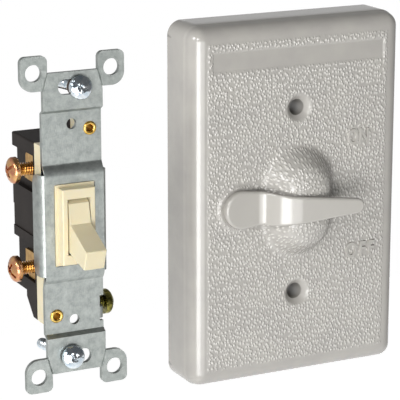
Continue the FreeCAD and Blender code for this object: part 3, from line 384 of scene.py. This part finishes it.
smooth_coat = powder_coat("powder_coat_smooth", ("ACA9A3", "AEABA5"), False)
for word, word_x, word_z, narrow, spacing in WORDS:
    curve = bpy.data.curves.new("word_" + word.lower(), "FONT")
    curve.body = word
    curve.size = WORD_SIZE * MM
    curve.extrude = WORD_HALF * MM
    curve.offset = WORD_SWELL * MM
    curve.space_character = spacing
    curve.bevel_depth = WORD_EDGE * MM
    curve.bevel_resolution = 2
    flat = bpy.data.objects.new("word_" + word.lower(), curve)
    bpy.context.scene.collection.objects.link(flat)
    mesh = bpy.data.meshes.new_from_object(flat.evaluated_get(bpy.context.evaluated_depsgraph_get()))
    bpy.data.objects.remove(flat)
    stand = Matrix.Translation((word_x * MM, (FACE_Y - WORD_MIDDLE) * MM, word_z * MM))
    mesh.transform(stand @ Matrix.Rotation(math.radians(90), 4, "X") @ Matrix.Diagonal((narrow, 1, 1, 1)))
    letters = bpy.data.objects.new("word_" + word.lower(), mesh)
    bpy.context.scene.collection.objects.link(letters)
    mesh.materials.clear()
    mesh.materials.append(smooth_coat)
    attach(letters, "fixed")


# Lever
# One smooth casting with its spindle, coated like the plate but without grain. A round flat pad
# turns on the seat, a ramp climbs the dome's flank and a long arm tapers to a round tip.
PAD_R = 6.05
PAD_H = 3.4
PAD_GAP = 0.15
TIP_X = 17.0
TIP_R = 2.4
TIP_DROP = 0.4
LEVER_T = 2.1
LEVER_FOOT_X = -16.0
LEVER_FOOT_R = 3.4
LEVER_RAMP = math.radians(58.0)
LEVER_RAMP_L = 1.2
LEVER_CREST_R = 11.2
LEVER_SLOPE = math.radians(5.5)
LEVER_EDGE = 0.8
EDGE_ROWS = 9
RAMP_FROM = 0.12
RAMP_TO = 0.5
FOOT_COLUMNS = 6
RAMP_COLUMNS = 60
ARM_COLUMNS = 24
PAD_COLUMNS = 49
TIP_COLUMNS = 21
TOP_SHARES = (0.0, 0.1, 0.25, 0.42, 0.6, 0.77, 0.9)
LOWER_EDGE = ((0.0, 0.3), (0.09, 0.09), (0.3, 0.0))
UNDER_SHARES = (0.3, 0.5, 0.7, 0.85, 0.95, 1.0)


def lever_height(x, depth):
    """Height over the plate of the line at a depth under the lever's face.

    It is flat on the pad, then a hollow foot arc, a straight ramp, a crest arc and a straight arm,
    each tangent to the next.
    """
    foot = LEVER_FOOT_R + depth
    crest = LEVER_CREST_R - depth
    hub_h = PAD_H + LEVER_FOOT_R
    ramp_x = LEVER_FOOT_X + LEVER_FOOT_R * math.sin(LEVER_RAMP) + LEVER_RAMP_L * math.cos(LEVER_RAMP)
    ramp_h = hub_h - LEVER_FOOT_R * math.cos(LEVER_RAMP) + LEVER_RAMP_L * math.sin(LEVER_RAMP)
    crest_x = ramp_x + LEVER_CREST_R * math.sin(LEVER_RAMP)
    crest_h = ramp_h - LEVER_CREST_R * math.cos(LEVER_RAMP)
    x1 = LEVER_FOOT_X + foot * math.sin(LEVER_RAMP)
    h1 = hub_h - foot * math.cos(LEVER_RAMP)
    x2 = crest_x - crest * math.sin(LEVER_RAMP)
    x3 = crest_x - crest * math.sin(LEVER_SLOPE)
    h3 = crest_h + crest * math.cos(LEVER_SLOPE)
    on_foot = hub_h - np.sqrt(np.maximum(foot ** 2 - (x - LEVER_FOOT_X) ** 2, 0))
    on_crest = crest_h + np.sqrt(np.maximum(crest ** 2 - (x - crest_x) ** 2, 0))
    ramp = h1 + (x - x1) * math.tan(LEVER_RAMP)
    arm = h3 + (x - x3) * math.tan(LEVER_SLOPE)
    reaches = [x < LEVER_FOOT_X, x < x1, x < x2, x < x3]
    return np.select(reaches, [PAD_H - depth, on_foot, ramp, on_crest], arm)


def lever_loop():
    """Plan outline round the lever: points on its middle line, outward directions, and reaches.

    It runs round the pad's circle, along the common tangent to the tip's smaller circle, round
    that and back, so the reach shrinks evenly along the middle line.
    """
    span = math.hypot(TIP_X - TIP_R - PIVOT_X, TIP_DROP)
    lean = math.asin((PAD_R - TIP_R) / span)
    dip = math.atan2(-TIP_DROP, TIP_X - TIP_R - PIVOT_X)
    s = np.concatenate([np.linspace(0, RAMP_FROM, FOOT_COLUMNS)[:-1],
                        np.linspace(RAMP_FROM, RAMP_TO, RAMP_COLUMNS)[:-1],
                        np.linspace(RAMP_TO, 1, ARM_COLUMNS)])
    side = math.pi / 2 - lean
    pad = np.linspace(side, 2 * math.pi - side, PAD_COLUMNS)[1:-1]
    tip = np.linspace(-side, side, TIP_COLUMNS)[1:-1]
    share = np.concatenate([s[::-1], np.zeros(len(pad)), s, np.ones(len(tip))])
    angle = np.concatenate([np.full(len(s), side), pad, np.full(len(s), -side), tip]) + dip
    middle = np.stack([PIVOT_X + (TIP_X - TIP_R - PIVOT_X) * share, -TIP_DROP * share])
    return middle, np.stack([np.cos(angle), np.sin(angle)]), PAD_R + (TIP_R - PAD_R) * share


def lever_under(x, z):
    """Height of the underside: the arm's even thickness, or the pad's foot inside the pad's circle."""
    in_pad = np.hypot(x - PIVOT_X, z) < PAD_R + HAIR / 2
    return np.where(in_pad, SEAT_H + PAD_GAP, np.maximum(lever_height(x, LEVER_T), SEAT_H + PAD_GAP))


middle, outward, reach = lever_loop()
rings = []
for share in TOP_SHARES:
    x, z = middle + outward * (reach - LEVER_EDGE) * share
    rings.append((x, lever_height(x, 0), z))
for turn in np.radians(np.linspace(90, 0, EDGE_ROWS)):
    x, z = middle + outward * (reach - LEVER_EDGE * (1 - math.cos(turn)))
    rings.append((x, lever_height(x, 0) - LEVER_EDGE * (1 - math.sin(turn)), z))
for inset, rise in LOWER_EDGE:
    x, z = middle + outward * (reach - inset)
    rings.append((x, lever_under(x, z) + rise, z))
for share in UNDER_SHARES:
    x, z = middle + outward * reach * (1 - share)
    rings.append((x, lever_under(x, z), z))
arm = np.concatenate([np.stack([x, FACE_Y - h, z], axis=-1) for x, h, z in rings])
arm_faces = grid_faces(len(rings), len(reach), closed=True)
seat_level = FACE_Y - SEAT_H - PAD_GAP
spindle, spindle_faces = cad_faces("lever", lambda centre, normal: centre[:, 1] > seat_level + HAIR)
lever_faces = arm_faces + (spindle_faces + len(arm)).tolist()
lever = mesh_piece("lever_casting", np.concatenate([arm, spindle]), lever_faces,
                   "lever_group", "lever_paint", "lever", merge=2e-6)
lever.data.materials.append(smooth_coat)


# Mounting strap
# Stamped from galvanised steel strip about 1.5 mm thick, with folded sides at the middle, plaster
# ears that snap off at their scores, and a tab bent back for the ground screw.
SWITCH_X = -79.3
SWITCH_Y = -23.3
SWITCH_Z = 3.6
BEND_REACH = 24.0
BEND_LEAST = 12.0
BEND_MOST = 75.0
BEND_LENGTH = 5.0
BEND_ALONG_X = 0.99
BEND_OUTER = 1.5
BEND_INNER = 0.35
ZINC_CLOUDS_PER_CM = 4.2
ZINC_GLOSSIER = 0.06
ZINC_DULLER = 0.08
ROLLING_PER_CM = (24.0, 24.0, 7.0)
ROLLING_RELIEF = 0.07


def rounded_bends(bm, sizes):
    """Rounds the folds that run along X near the strap's middle: convex by sizes[0], hollow by sizes[1]."""
    for hollow, size in enumerate(sizes):
        folds = [e for e in bm.edges if len(e.link_faces) == 2 and e.calc_length() > BEND_LENGTH * MM
                 and abs((e.verts[0].co - e.verts[1].co).normalized().x) > BEND_ALONG_X
                 and BEND_LEAST < math.degrees(e.calc_face_angle(0.0)) < BEND_MOST
                 and abs(e.verts[0].co.z / MM - SWITCH_Z) < BEND_REACH and e.is_convex == (not hollow)]
        bmesh.ops.bevel(bm, geom=folds, offset=size * MM, segments=4, profile=0.5, affect="EDGES")


def softened(name, node, body, finish, width, angle=28.0, segments=2, bends=()):
    """Copy of a CAD node's mesh in a finish, with edges sharper than an angle rounded by a width."""
    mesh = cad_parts[node].data.copy()
    mesh.name = name
    bm = bmesh.new()
    bm.from_mesh(mesh)
    bmesh.ops.remove_doubles(bm, verts=bm.verts, dist=1e-6)
    bmesh.ops.dissolve_limit(bm, angle_limit=math.radians(1.0), verts=bm.verts, edges=bm.edges)
    rounded_bends(bm, bends)
    bm.to_mesh(mesh)
    bm.free()
    mesh.materials.clear()
    mesh.materials.append(finish)
    mesh.polygons.foreach_set("use_smooth", np.ones(len(mesh.polygons), bool))
    piece = bpy.data.objects.new(name, mesh)
    bpy.context.scene.collection.objects.link(piece)
    bevel = piece.modifiers.new("rounding", "BEVEL")
    bevel.width = width * MM
    bevel.segments = segments
    bevel.limit_method = "ANGLE"
    bevel.angle_limit = math.radians(angle)
    bevel.use_clamp_overlap = True
    even = piece.modifiers.new("even_flats", "WEIGHTED_NORMAL")
    even.weight = 80
    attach(piece, body)
    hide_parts(node)
    return piece


def zinc_plate(name, colours, rough):
    """Zinc on rolled steel: a dull sheen, cloudy in tone and gloss, over fine rolling lines along Z."""
    m, tree, shader, place = material(name)
    cloud = clouded(tree, shader, place, ZINC_CLOUDS_PER_CM, 8.0, colours, (0.3, 0.72), rough=0.75)[0]
    shader.inputs["Metallic"].default_value = 1.0
    sheen = add(tree, "MapRange", [(cloud.outputs["Fac"], "Value")],
                To_Min=rough - ZINC_GLOSSIER, To_Max=rough + ZINC_DULLER)
    tree.links.new(sheen.outputs["Result"], shader.inputs["Roughness"])
    lines = add(tree, "Mapping", [(place, "Vector")], Scale=[n / (10 * MM) for n in ROLLING_PER_CM])
    rolled = add(tree, "TexNoise", [(lines.outputs["Vector"], "Vector")], Scale=1.0, Detail=3.0)
    bump = add(tree, "Bump", [(rolled.outputs["Fac"], "Height")],
               Strength=0.55, Distance=ROLLING_RELIEF * MM)
    tree.links.new(bump.outputs["Normal"], shader.inputs["Normal"])
    return m


strip_zinc = zinc_plate("zinc_on_steel", ("8A908D", "B5B9B6"), 0.45)
softened("strap", "mounting_strap", "fixed", strip_zinc, 0.12, bends=(BEND_OUTER, BEND_INNER))


# Housings and toggle
# The front half and the toggle are injection moulded in ivory; the rear half is a black phenolic
# moulding that holds the terminals. Two brass eyelets clamp both halves to the strap.
FLOW_PER_CM = 1.2
PIT_RELIEF = 0.05
GLOW_DEPTHS = (2.2, 1.6, 0.8)


def moulded(name, colours, rough, grit, strength, glow=0.0, gloss=0.5):
    """Moulded plastic: even colour with a faint flow mottle and the fine pits of its mould.

    Grit is the pits' size. Glow is the share of light that scatters inside, as in a pale plastic,
    to GLOW_DEPTHS in red, green and blue.
    """
    m, tree, shader, place = material(name)
    clouded(tree, shader, place, FLOW_PER_CM, 2.0, colours, (0.3, 0.7))
    shader.inputs["Roughness"].default_value = rough
    shader.inputs["IOR"].default_value = 1.52
    shader.inputs["Specular IOR Level"].default_value = gloss
    shader.inputs["Subsurface Weight"].default_value = glow
    shader.inputs["Subsurface Radius"].default_value = [depth * MM for depth in GLOW_DEPTHS]
    pits = add(tree, "TexNoise", [(place, "Vector")], Scale=1 / (grit * MM), Detail=3.0)
    bump = add(tree, "Bump", [(pits.outputs["Fac"], "Height")], Strength=strength, Distance=PIT_RELIEF * MM)
    tree.links.new(bump.outputs["Normal"], shader.inputs["Normal"])
    return m


# The ivory plastic glows a little in its shade; the filled phenolic is dull and nearly black.
ivory = moulded("ivory_polycarbonate", ("D8CDAC", "DCD2B4"), 0.36, 0.25, 0.12, glow=0.3)
phenolic = moulded("black_phenolic", ("1A1512", "221C19"), 0.6, 0.12, 0.5, gloss=0.2)
softened("front_moulding", "front_housing", "fixed", ivory, 0.2)
softened("rear_moulding", "rear_housing", "fixed", phenolic, 0.18)
softened("toggle_moulding", "toggle", "toggle_group", ivory, 0.45, segments=3)


# Screws
# Combination slot and cross heads rolled from wire: two plated copper brown for the terminals, one
# dark green for ground and two bright zinc ones that hold the strap to its box.
TERMINAL_SEAT = (-13.5, 12.4, 15.3)
TERMINAL_LENGTH = 8.6
GROUND_SEAT = (11.7, 7.3, -27.8)
GROUND_LENGTH = 6.0
WIRE_SCREW_R = 2.05
WIRE_SCREW_PITCH = 0.8
BOX_SCREWS = (("upper", 2.0, 41.3, -4.5, 0.0), ("lower", -1.85, -41.1, -6.5, 1.5))
BOX_SCREW_R = 1.75
BOX_SCREW_PITCH = 0.794
BOX_SCREW_LENGTH = 24.2
BOX_HEAD_R = 3.6
HEAD_EDGE = 0.12
HEAD_RIM = 0.1
THREAD_DEPTH = 0.62
THREAD_STEPS = (0.14, 0.44, 0.56, 0.86)
THREAD_SIDES = 32
POINT_TURNS = 1.5
POINT_R = 0.82
ASLANT = (0.3, 0.2, 0.9)
DENT_PITCH = 1.8


def plated(name, colours, rough, per_cm=5.0, dents=0.0):
    """Plated or bare bright metal: a clean glint, a tone that drifts with the film, and tumbling dents."""
    m, tree, shader, place = material(name)
    clouded(tree, shader, place, per_cm, 3.0, colours, (0.35, 0.65))
    shader.inputs["Metallic"].default_value = 1.0
    shader.inputs["Roughness"].default_value = rough
    if dents:
        knocks = add(tree, "TexNoise", [(place, "Vector")], Scale=1 / (DENT_PITCH * MM), Detail=1.0)
        bump = add(tree, "Bump", [(knocks.outputs["Fac"], "Height")], Strength=1.0, Distance=dents * MM)
        tree.links.new(bump.outputs["Normal"], shader.inputs["Normal"])
    return m


def threaded_screw(name, node, finish, slot, seat, out, major, length, pitch, thread_finish):
    """CAD head with softened edges on a rolled thread that runs back from its seat.

    The thread's rows of points climb a helix of the pitch, at the root, up the flank, along the
    crest and down again, and shrink to a blunt point over the last turns. Depths and radii there
    are shares of the pitch and of the root.
    """
    out = np.array(out, float)
    out /= np.linalg.norm(out)
    seat = np.array(seat, float)
    side = np.cross(out, ASLANT)
    side /= np.linalg.norm(side)
    other = np.cross(out, side)
    root = major - THREAD_DEPTH * pitch
    shape = ((0.0, root), *zip(THREAD_STEPS, (root, major, major, root)))
    turns = np.linspace(0, 2 * math.pi, THREAD_SIDES + 1)
    circle = side * np.cos(turns)[:, None] + other * np.sin(turns)[:, None]
    rows = []
    for k in range(-1, int(length / pitch) + 2):
        for share, r in shape:
            s = (k + share + turns / (2 * math.pi)) * pitch
            taper = np.clip((length - s) / (POINT_TURNS * pitch), 0, 1)
            s = np.clip(s, 0.0, length)
            radius = np.minimum(r, root * POINT_R + (major - root * POINT_R) * taper)
            rows.append(seat - out * s[:, None] + circle * radius[:, None])
    rows.append(np.repeat([seat - out * length], len(turns), axis=0))
    faces = grid_faces(len(rows), len(turns))
    shank = mesh_piece(name + "_thread", np.concatenate(rows), faces, "fixed", slot)
    bm = bmesh.new()
    bm.from_mesh(shank.data)
    bmesh.ops.recalc_face_normals(bm, faces=bm.faces)
    bm.to_mesh(shank.data)
    bm.free()
    shank.data.materials.append(thread_finish)
    head = softened(name, node, "fixed", finish, HEAD_EDGE).data

    def above_seat(v):
        return (np.array(v.co) / MM - seat) @ out

    bm = bmesh.new()
    bm.from_mesh(head)
    bmesh.ops.delete(bm, geom=[v for v in bm.verts if above_seat(v) < -HAIR], context="VERTS")
    rim = [e for e in bm.edges if e.is_boundary and all(above_seat(v) < HEAD_RIM for v in e.verts)]
    bmesh.ops.holes_fill(bm, edges=rim)
    bm.to_mesh(head)
    bm.free()


# Copper flash is bright orange on the heads and a darker brown on the threads, chromate leaves zinc
# a dull olive green, and plain bright zinc is bluish. Tumbling in the plating barrel dents the heads.
copper = plated("copper_flash", ("BE7E63", "D0A56E"), 0.26, dents=0.14)
brown_copper = plated("brown_copper_thread", ("8A5A2C", "B8853F"), 0.24)
dark_green = plated("ground_chromate", ("4E4C24", "97904A"), 0.26, per_cm=9.0)
bright_zinc = plated("bright_zinc", ("B4C3CE", "DADFE2"), 0.16, dents=0.3)
for end, sign in (("upper", 1), ("lower", -1)):
    x, y, z = TERMINAL_SEAT
    threaded_screw(end + "_terminal_screw_piece", end + "_terminal_screw", copper, "terminal_brass",
                   (SWITCH_X + x, SWITCH_Y + y, SWITCH_Z + sign * z), (-1, 0, 0),
                   WIRE_SCREW_R, TERMINAL_LENGTH, WIRE_SCREW_PITCH, brown_copper)
x, y, z = GROUND_SEAT
threaded_screw("ground_screw_piece", "ground_screw", dark_green, "ground_green",
               (SWITCH_X + x, SWITCH_Y + y, SWITCH_Z + z), (1, 0, 0),
               WIRE_SCREW_R, GROUND_LENGTH, WIRE_SCREW_PITCH, dark_green)
for end, x, z, droop, turn in BOX_SCREWS:
    d, t = math.radians(droop), math.radians(turn)
    out = (math.sin(t) * math.cos(d), -math.cos(t) * math.cos(d), -math.sin(d))
    lift = BOX_HEAD_R * math.sqrt(max(0.0, 1 - out[1] ** 2)) + HAIR
    threaded_screw(end + "_box_screw", end + "_mounting_screw", bright_zinc, "zinc_steel",
                   (SWITCH_X + x, SWITCH_Y - lift, SWITCH_Z + z), out,
                   BOX_SCREW_R, BOX_SCREW_LENGTH, BOX_SCREW_PITCH, bright_zinc)


# Eyelets, terminals, contacts, seals and clips
# Small stamped, turned and moulded parts whose shapes the CAD has: brass eyelets and terminals,
# fibre washers, silver contacts, spring steel clip and washer, rubber seal and foam gasket.

# The metals are bare and lightly burnished; fibre, rubber and foam are dull, foam most of all.
eyelet_brass = plated("eyelet_brass", ("CDA04A", "E6C878"), 0.26)
terminal_brass = plated("terminal_brass", ("B08442", "CDA55E"), 0.3)
silver = plated("contact_silver", ("C8C8C4", "D8D8D4"), 0.3)
spring_steel = plated("spring_steel", ("8C8E90", "9DA0A2"), 0.3)
fibre = moulded("vulcanised_fibre", ("3B3029", "463A31"), 0.7, 0.1, 0.5)
rubber = moulded("nitrile_rubber", ("151515", "1B1B1B"), 0.6, 0.2, 0.2)
foam = moulded("closed_cell_foam", ("1F1F20", "2B2B2C"), 0.85, 0.3, 1.0)
for end in ("upper", "lower"):
    softened(end + "_rivet", end + "_eyelet", "fixed", eyelet_brass, 0.12)
    softened(end + "_terminal_plate", end + "_terminal", "fixed", terminal_brass, 0.1)
    softened(end + "_fibre_washer", end + "_captive_washer", "fixed", fibre, 0.1)
softened("fixed_button", "fixed_contact", "fixed", silver, 0.1)
softened("moving_button", "moving_contact", "rocker_group", silver, 0.1)
softened("rocker_strip", "contact_rocker", "rocker_group", terminal_brass, 0.1)
softened("spring_plunger", "plunger", "toggle_group", terminal_brass, 0.1)
softened("fork_plate", "actuator_fork", "lever_group", strip_zinc, 0.2)
softened("spindle_clip", "retaining_clip", "lever_group", spring_steel, 0.1)
softened("rim_gasket", "gasket", "fixed", foam, 0.4)
for node, finish in (("toggle_spring", spring_steel), ("spring_washer", spring_steel),
                     ("lever_o_ring", rubber)):
    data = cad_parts[node].data
    for k in range(len(data.materials)):
        data.materials[k] = finish


# Camera
# It stands where the photograph's stood: to the left, a little above, with a long lens. The axis of
# its lens meets the picture at MIDDLE_PX, in pixels from the top left.
EYE = (-303.52, -555.15, 160.93)
TARGET = (-34.946, -17.2, 4.30)
FOCAL_PX = 2007.4
MIDDLE_PX = (199.32, 200.215)
PICTURE = 400
SENSOR = 36.0
NEAREST = 50.0
camera_data = bpy.data.cameras.new("camera")
camera_data.sensor_width = SENSOR
camera_data.lens = FOCAL_PX / PICTURE * SENSOR
camera_data.shift_x = (PICTURE / 2 - MIDDLE_PX[0]) / PICTURE
camera_data.shift_y = (MIDDLE_PX[1] - PICTURE / 2) / PICTURE
camera_data.clip_start = NEAREST * MM
camera = bpy.data.objects.new("camera", camera_data)
bpy.context.scene.collection.objects.link(camera)
eye = Vector(EYE) * MM
aim = (Vector(TARGET) * MM - eye).normalized()
right = aim.cross(Vector((0, 0, 1))).normalized()
up = right.cross(aim)
turn = Matrix((right, up, -aim)).transposed().to_4x4()
camera.matrix_world = Matrix.Translation(eye) @ turn
bpy.context.scene.camera = camera


# Round them are a grey room, paler at the lower left, a backdrop that metal mirrors as white,
# and a white floor. Sizes are in metres and degrees.
BOX_DISTANCE = 1.4
BOX_ELEVATION = -9.0
BOX_HEIGHT = 0.68
KEY_AZIMUTH = -38.0
KEY_WIDTH = 0.83
KEY_POWER = 14.4
FRONT_AZIMUTH = -3.0
FRONT_WIDTH = 0.85
FRONT_POWER = 5.5
GLINT_AZIMUTH = -46.0
GLINT_ELEVATION = 24.0
GLINT_SIZE = 0.28
GLINT_POWER = 4.0
FLANK_AZIMUTH = -80.0
FLANK_ELEVATION = 28.0
FLANK_SIZE = 0.3
FLANK_POWER = 4.5
ROOM_UP = (0.0, -0.3, 0.5)
ROOM_MIDDLE = 0.5
ROOM_TONES = ((0.35, "A6A6A6"), (0.75, "6A6A6A"))
BACKDROP_SIDE = (0.43, 0.866, -0.25)
BACKDROP_EDGES = (0.84, 0.95)
SWEEP_SIDE = (-0.88, 0.42, -0.2)
SWEEP_EDGES = (0.3, 0.8)
SWEEP_TONE = "E4E4E4"
WHITE = "FFFFFF"
FLOOR_Z = -1.1
FLOOR_HALF = 3.0
FLOOR_GLOW = 0.78
FLOOR_SEEN_TONE = "F4F4F4"
FLOOR_TONE = "C8C8C8"


def soft_box(name, azimuth, elevation, width, height, power):
    data = bpy.data.lights.new(name, "AREA")
    data.shape = "RECTANGLE"
    data.size = width
    data.size_y = height
    data.energy = power
    lamp = bpy.data.objects.new(name, data)
    bpy.context.scene.collection.objects.link(lamp)
    a, e = math.radians(azimuth), math.radians(elevation)
    spot = Vector((math.sin(a) * math.cos(e), -math.cos(a) * math.cos(e), math.sin(e))) * BOX_DISTANCE
    lamp.matrix_world = Matrix.Translation(spot) @ spot.to_track_quat("Z", "Y").to_matrix().to_4x4()


def toward(tree, direction, side, edges):
    """Share of 0 to 1 by which a direction points to a side, as their dot product passes two edges."""
    along = add(tree, "VectorMath", [(direction, 0)], operation="DOT_PRODUCT", _1=side)
    return add(tree, "MapRange", [(along.outputs["Value"], "Value")], From_Min=edges[0], From_Max=edges[1])


def straight_rays(tree):
    """Light path of a tree, and a node that is 1 for rays from the camera or through glass."""
    ray = add(tree, "LightPath")
    either = [(ray.outputs["Is Camera Ray"], 0), (ray.outputs["Is Transmission Ray"], 1)]
    straight = add(tree, "Math", either, operation="MAXIMUM")
    return ray, straight


soft_box("key_box", KEY_AZIMUTH, BOX_ELEVATION, KEY_WIDTH, BOX_HEIGHT, KEY_POWER)
soft_box("front_box", FRONT_AZIMUTH, BOX_ELEVATION, FRONT_WIDTH, BOX_HEIGHT, FRONT_POWER)
soft_box("glint_box", GLINT_AZIMUTH, GLINT_ELEVATION, GLINT_SIZE, GLINT_SIZE, GLINT_POWER)
soft_box("flank_box", FLANK_AZIMUTH, FLANK_ELEVATION, FLANK_SIZE, FLANK_SIZE, FLANK_POWER)
world = bpy.data.worlds.new("surround")
bpy.context.scene.world = world
world.use_nodes = True
sky = world.node_tree
sky.nodes.clear()
ray, straight = straight_rays(sky)
direction = add(sky, "TexCoord").outputs["Generated"]
height = add(sky, "VectorMath", [(direction, 0)], operation="DOT_PRODUCT", _1=ROOM_UP)
lifted = add(sky, "Math", [(height.outputs["Value"], 0)], operation="ADD", _1=ROOM_MIDDLE)
room = add(sky, "ValToRGB", [(lifted.outputs[0], "Fac")])
for stop, (edge, tone) in zip(room.color_ramp.elements, ROOM_TONES):
    stop.position = edge
    stop.color = rgb(tone)
behind = toward(sky, direction, BACKDROP_SIDE, BACKDROP_EDGES)
mirrored = add(sky, "Math", [(ray.outputs["Is Glossy Ray"], 0), (behind.outputs["Result"], 1)],
               operation="MULTIPLY")
seen = add(sky, "Math", [(straight.outputs[0], 0), (mirrored.outputs[0], 1)], operation="MAXIMUM")
sweep = toward(sky, direction, SWEEP_SIDE, SWEEP_EDGES)
grey = add(sky, "Mix", [(sweep.outputs["Result"], "Factor"), (room.outputs["Color"], "A")], data_type="RGBA")
grey.inputs["B"].default_value = rgb(SWEEP_TONE)
dim = add(sky, "Background", [(grey.outputs["Result"], "Color")], Strength=1.0)
white = add(sky, "Background", Color=rgb(WHITE), Strength=1.0)
pick = add(sky, "MixShader", [(seen.outputs[0], 0), (dim.outputs[0], 1), (white.outputs[0], 2)])
add(sky, "OutputWorld", [(pick.outputs[0], 0)])
corners = [(-1, -1), (1, -1), (1, 1), (-1, 1)]
floor_mesh = bpy.data.meshes.new("floor")
floor_mesh.from_pydata([(x * FLOOR_HALF, y * FLOOR_HALF, FLOOR_Z) for x, y in corners], [], [(0, 1, 2, 3)])
floor = bpy.data.objects.new("floor", floor_mesh)
bpy.context.scene.collection.objects.link(floor)
paper, sheet = material("white_paper")[:2]
sheet.nodes.clear()
ray, straight = straight_rays(sheet)
seen = add(sheet, "Math", [(straight.outputs[0], 0), (ray.outputs["Is Glossy Ray"], 1)], operation="MAXIMUM")
matte = add(sheet, "BsdfDiffuse", Color=rgb(FLOOR_TONE))
glow = add(sheet, "Emission", Color=rgb(WHITE), Strength=FLOOR_GLOW)
lit = add(sheet, "BsdfDiffuse", Color=rgb(FLOOR_SEEN_TONE))
shadowed = add(sheet, "AddShader", [(glow.outputs[0], 0), (lit.outputs[0], 1)])
either = add(sheet, "MixShader", [(seen.outputs[0], 0), (matte.outputs[0], 1), (shadowed.outputs[0], 2)])
add(sheet, "OutputMaterial", [(either.outputs[0], 0)])
floor_mesh.materials.append(paper)
bpy.context.scene.view_settings.view_transform = "Standard"
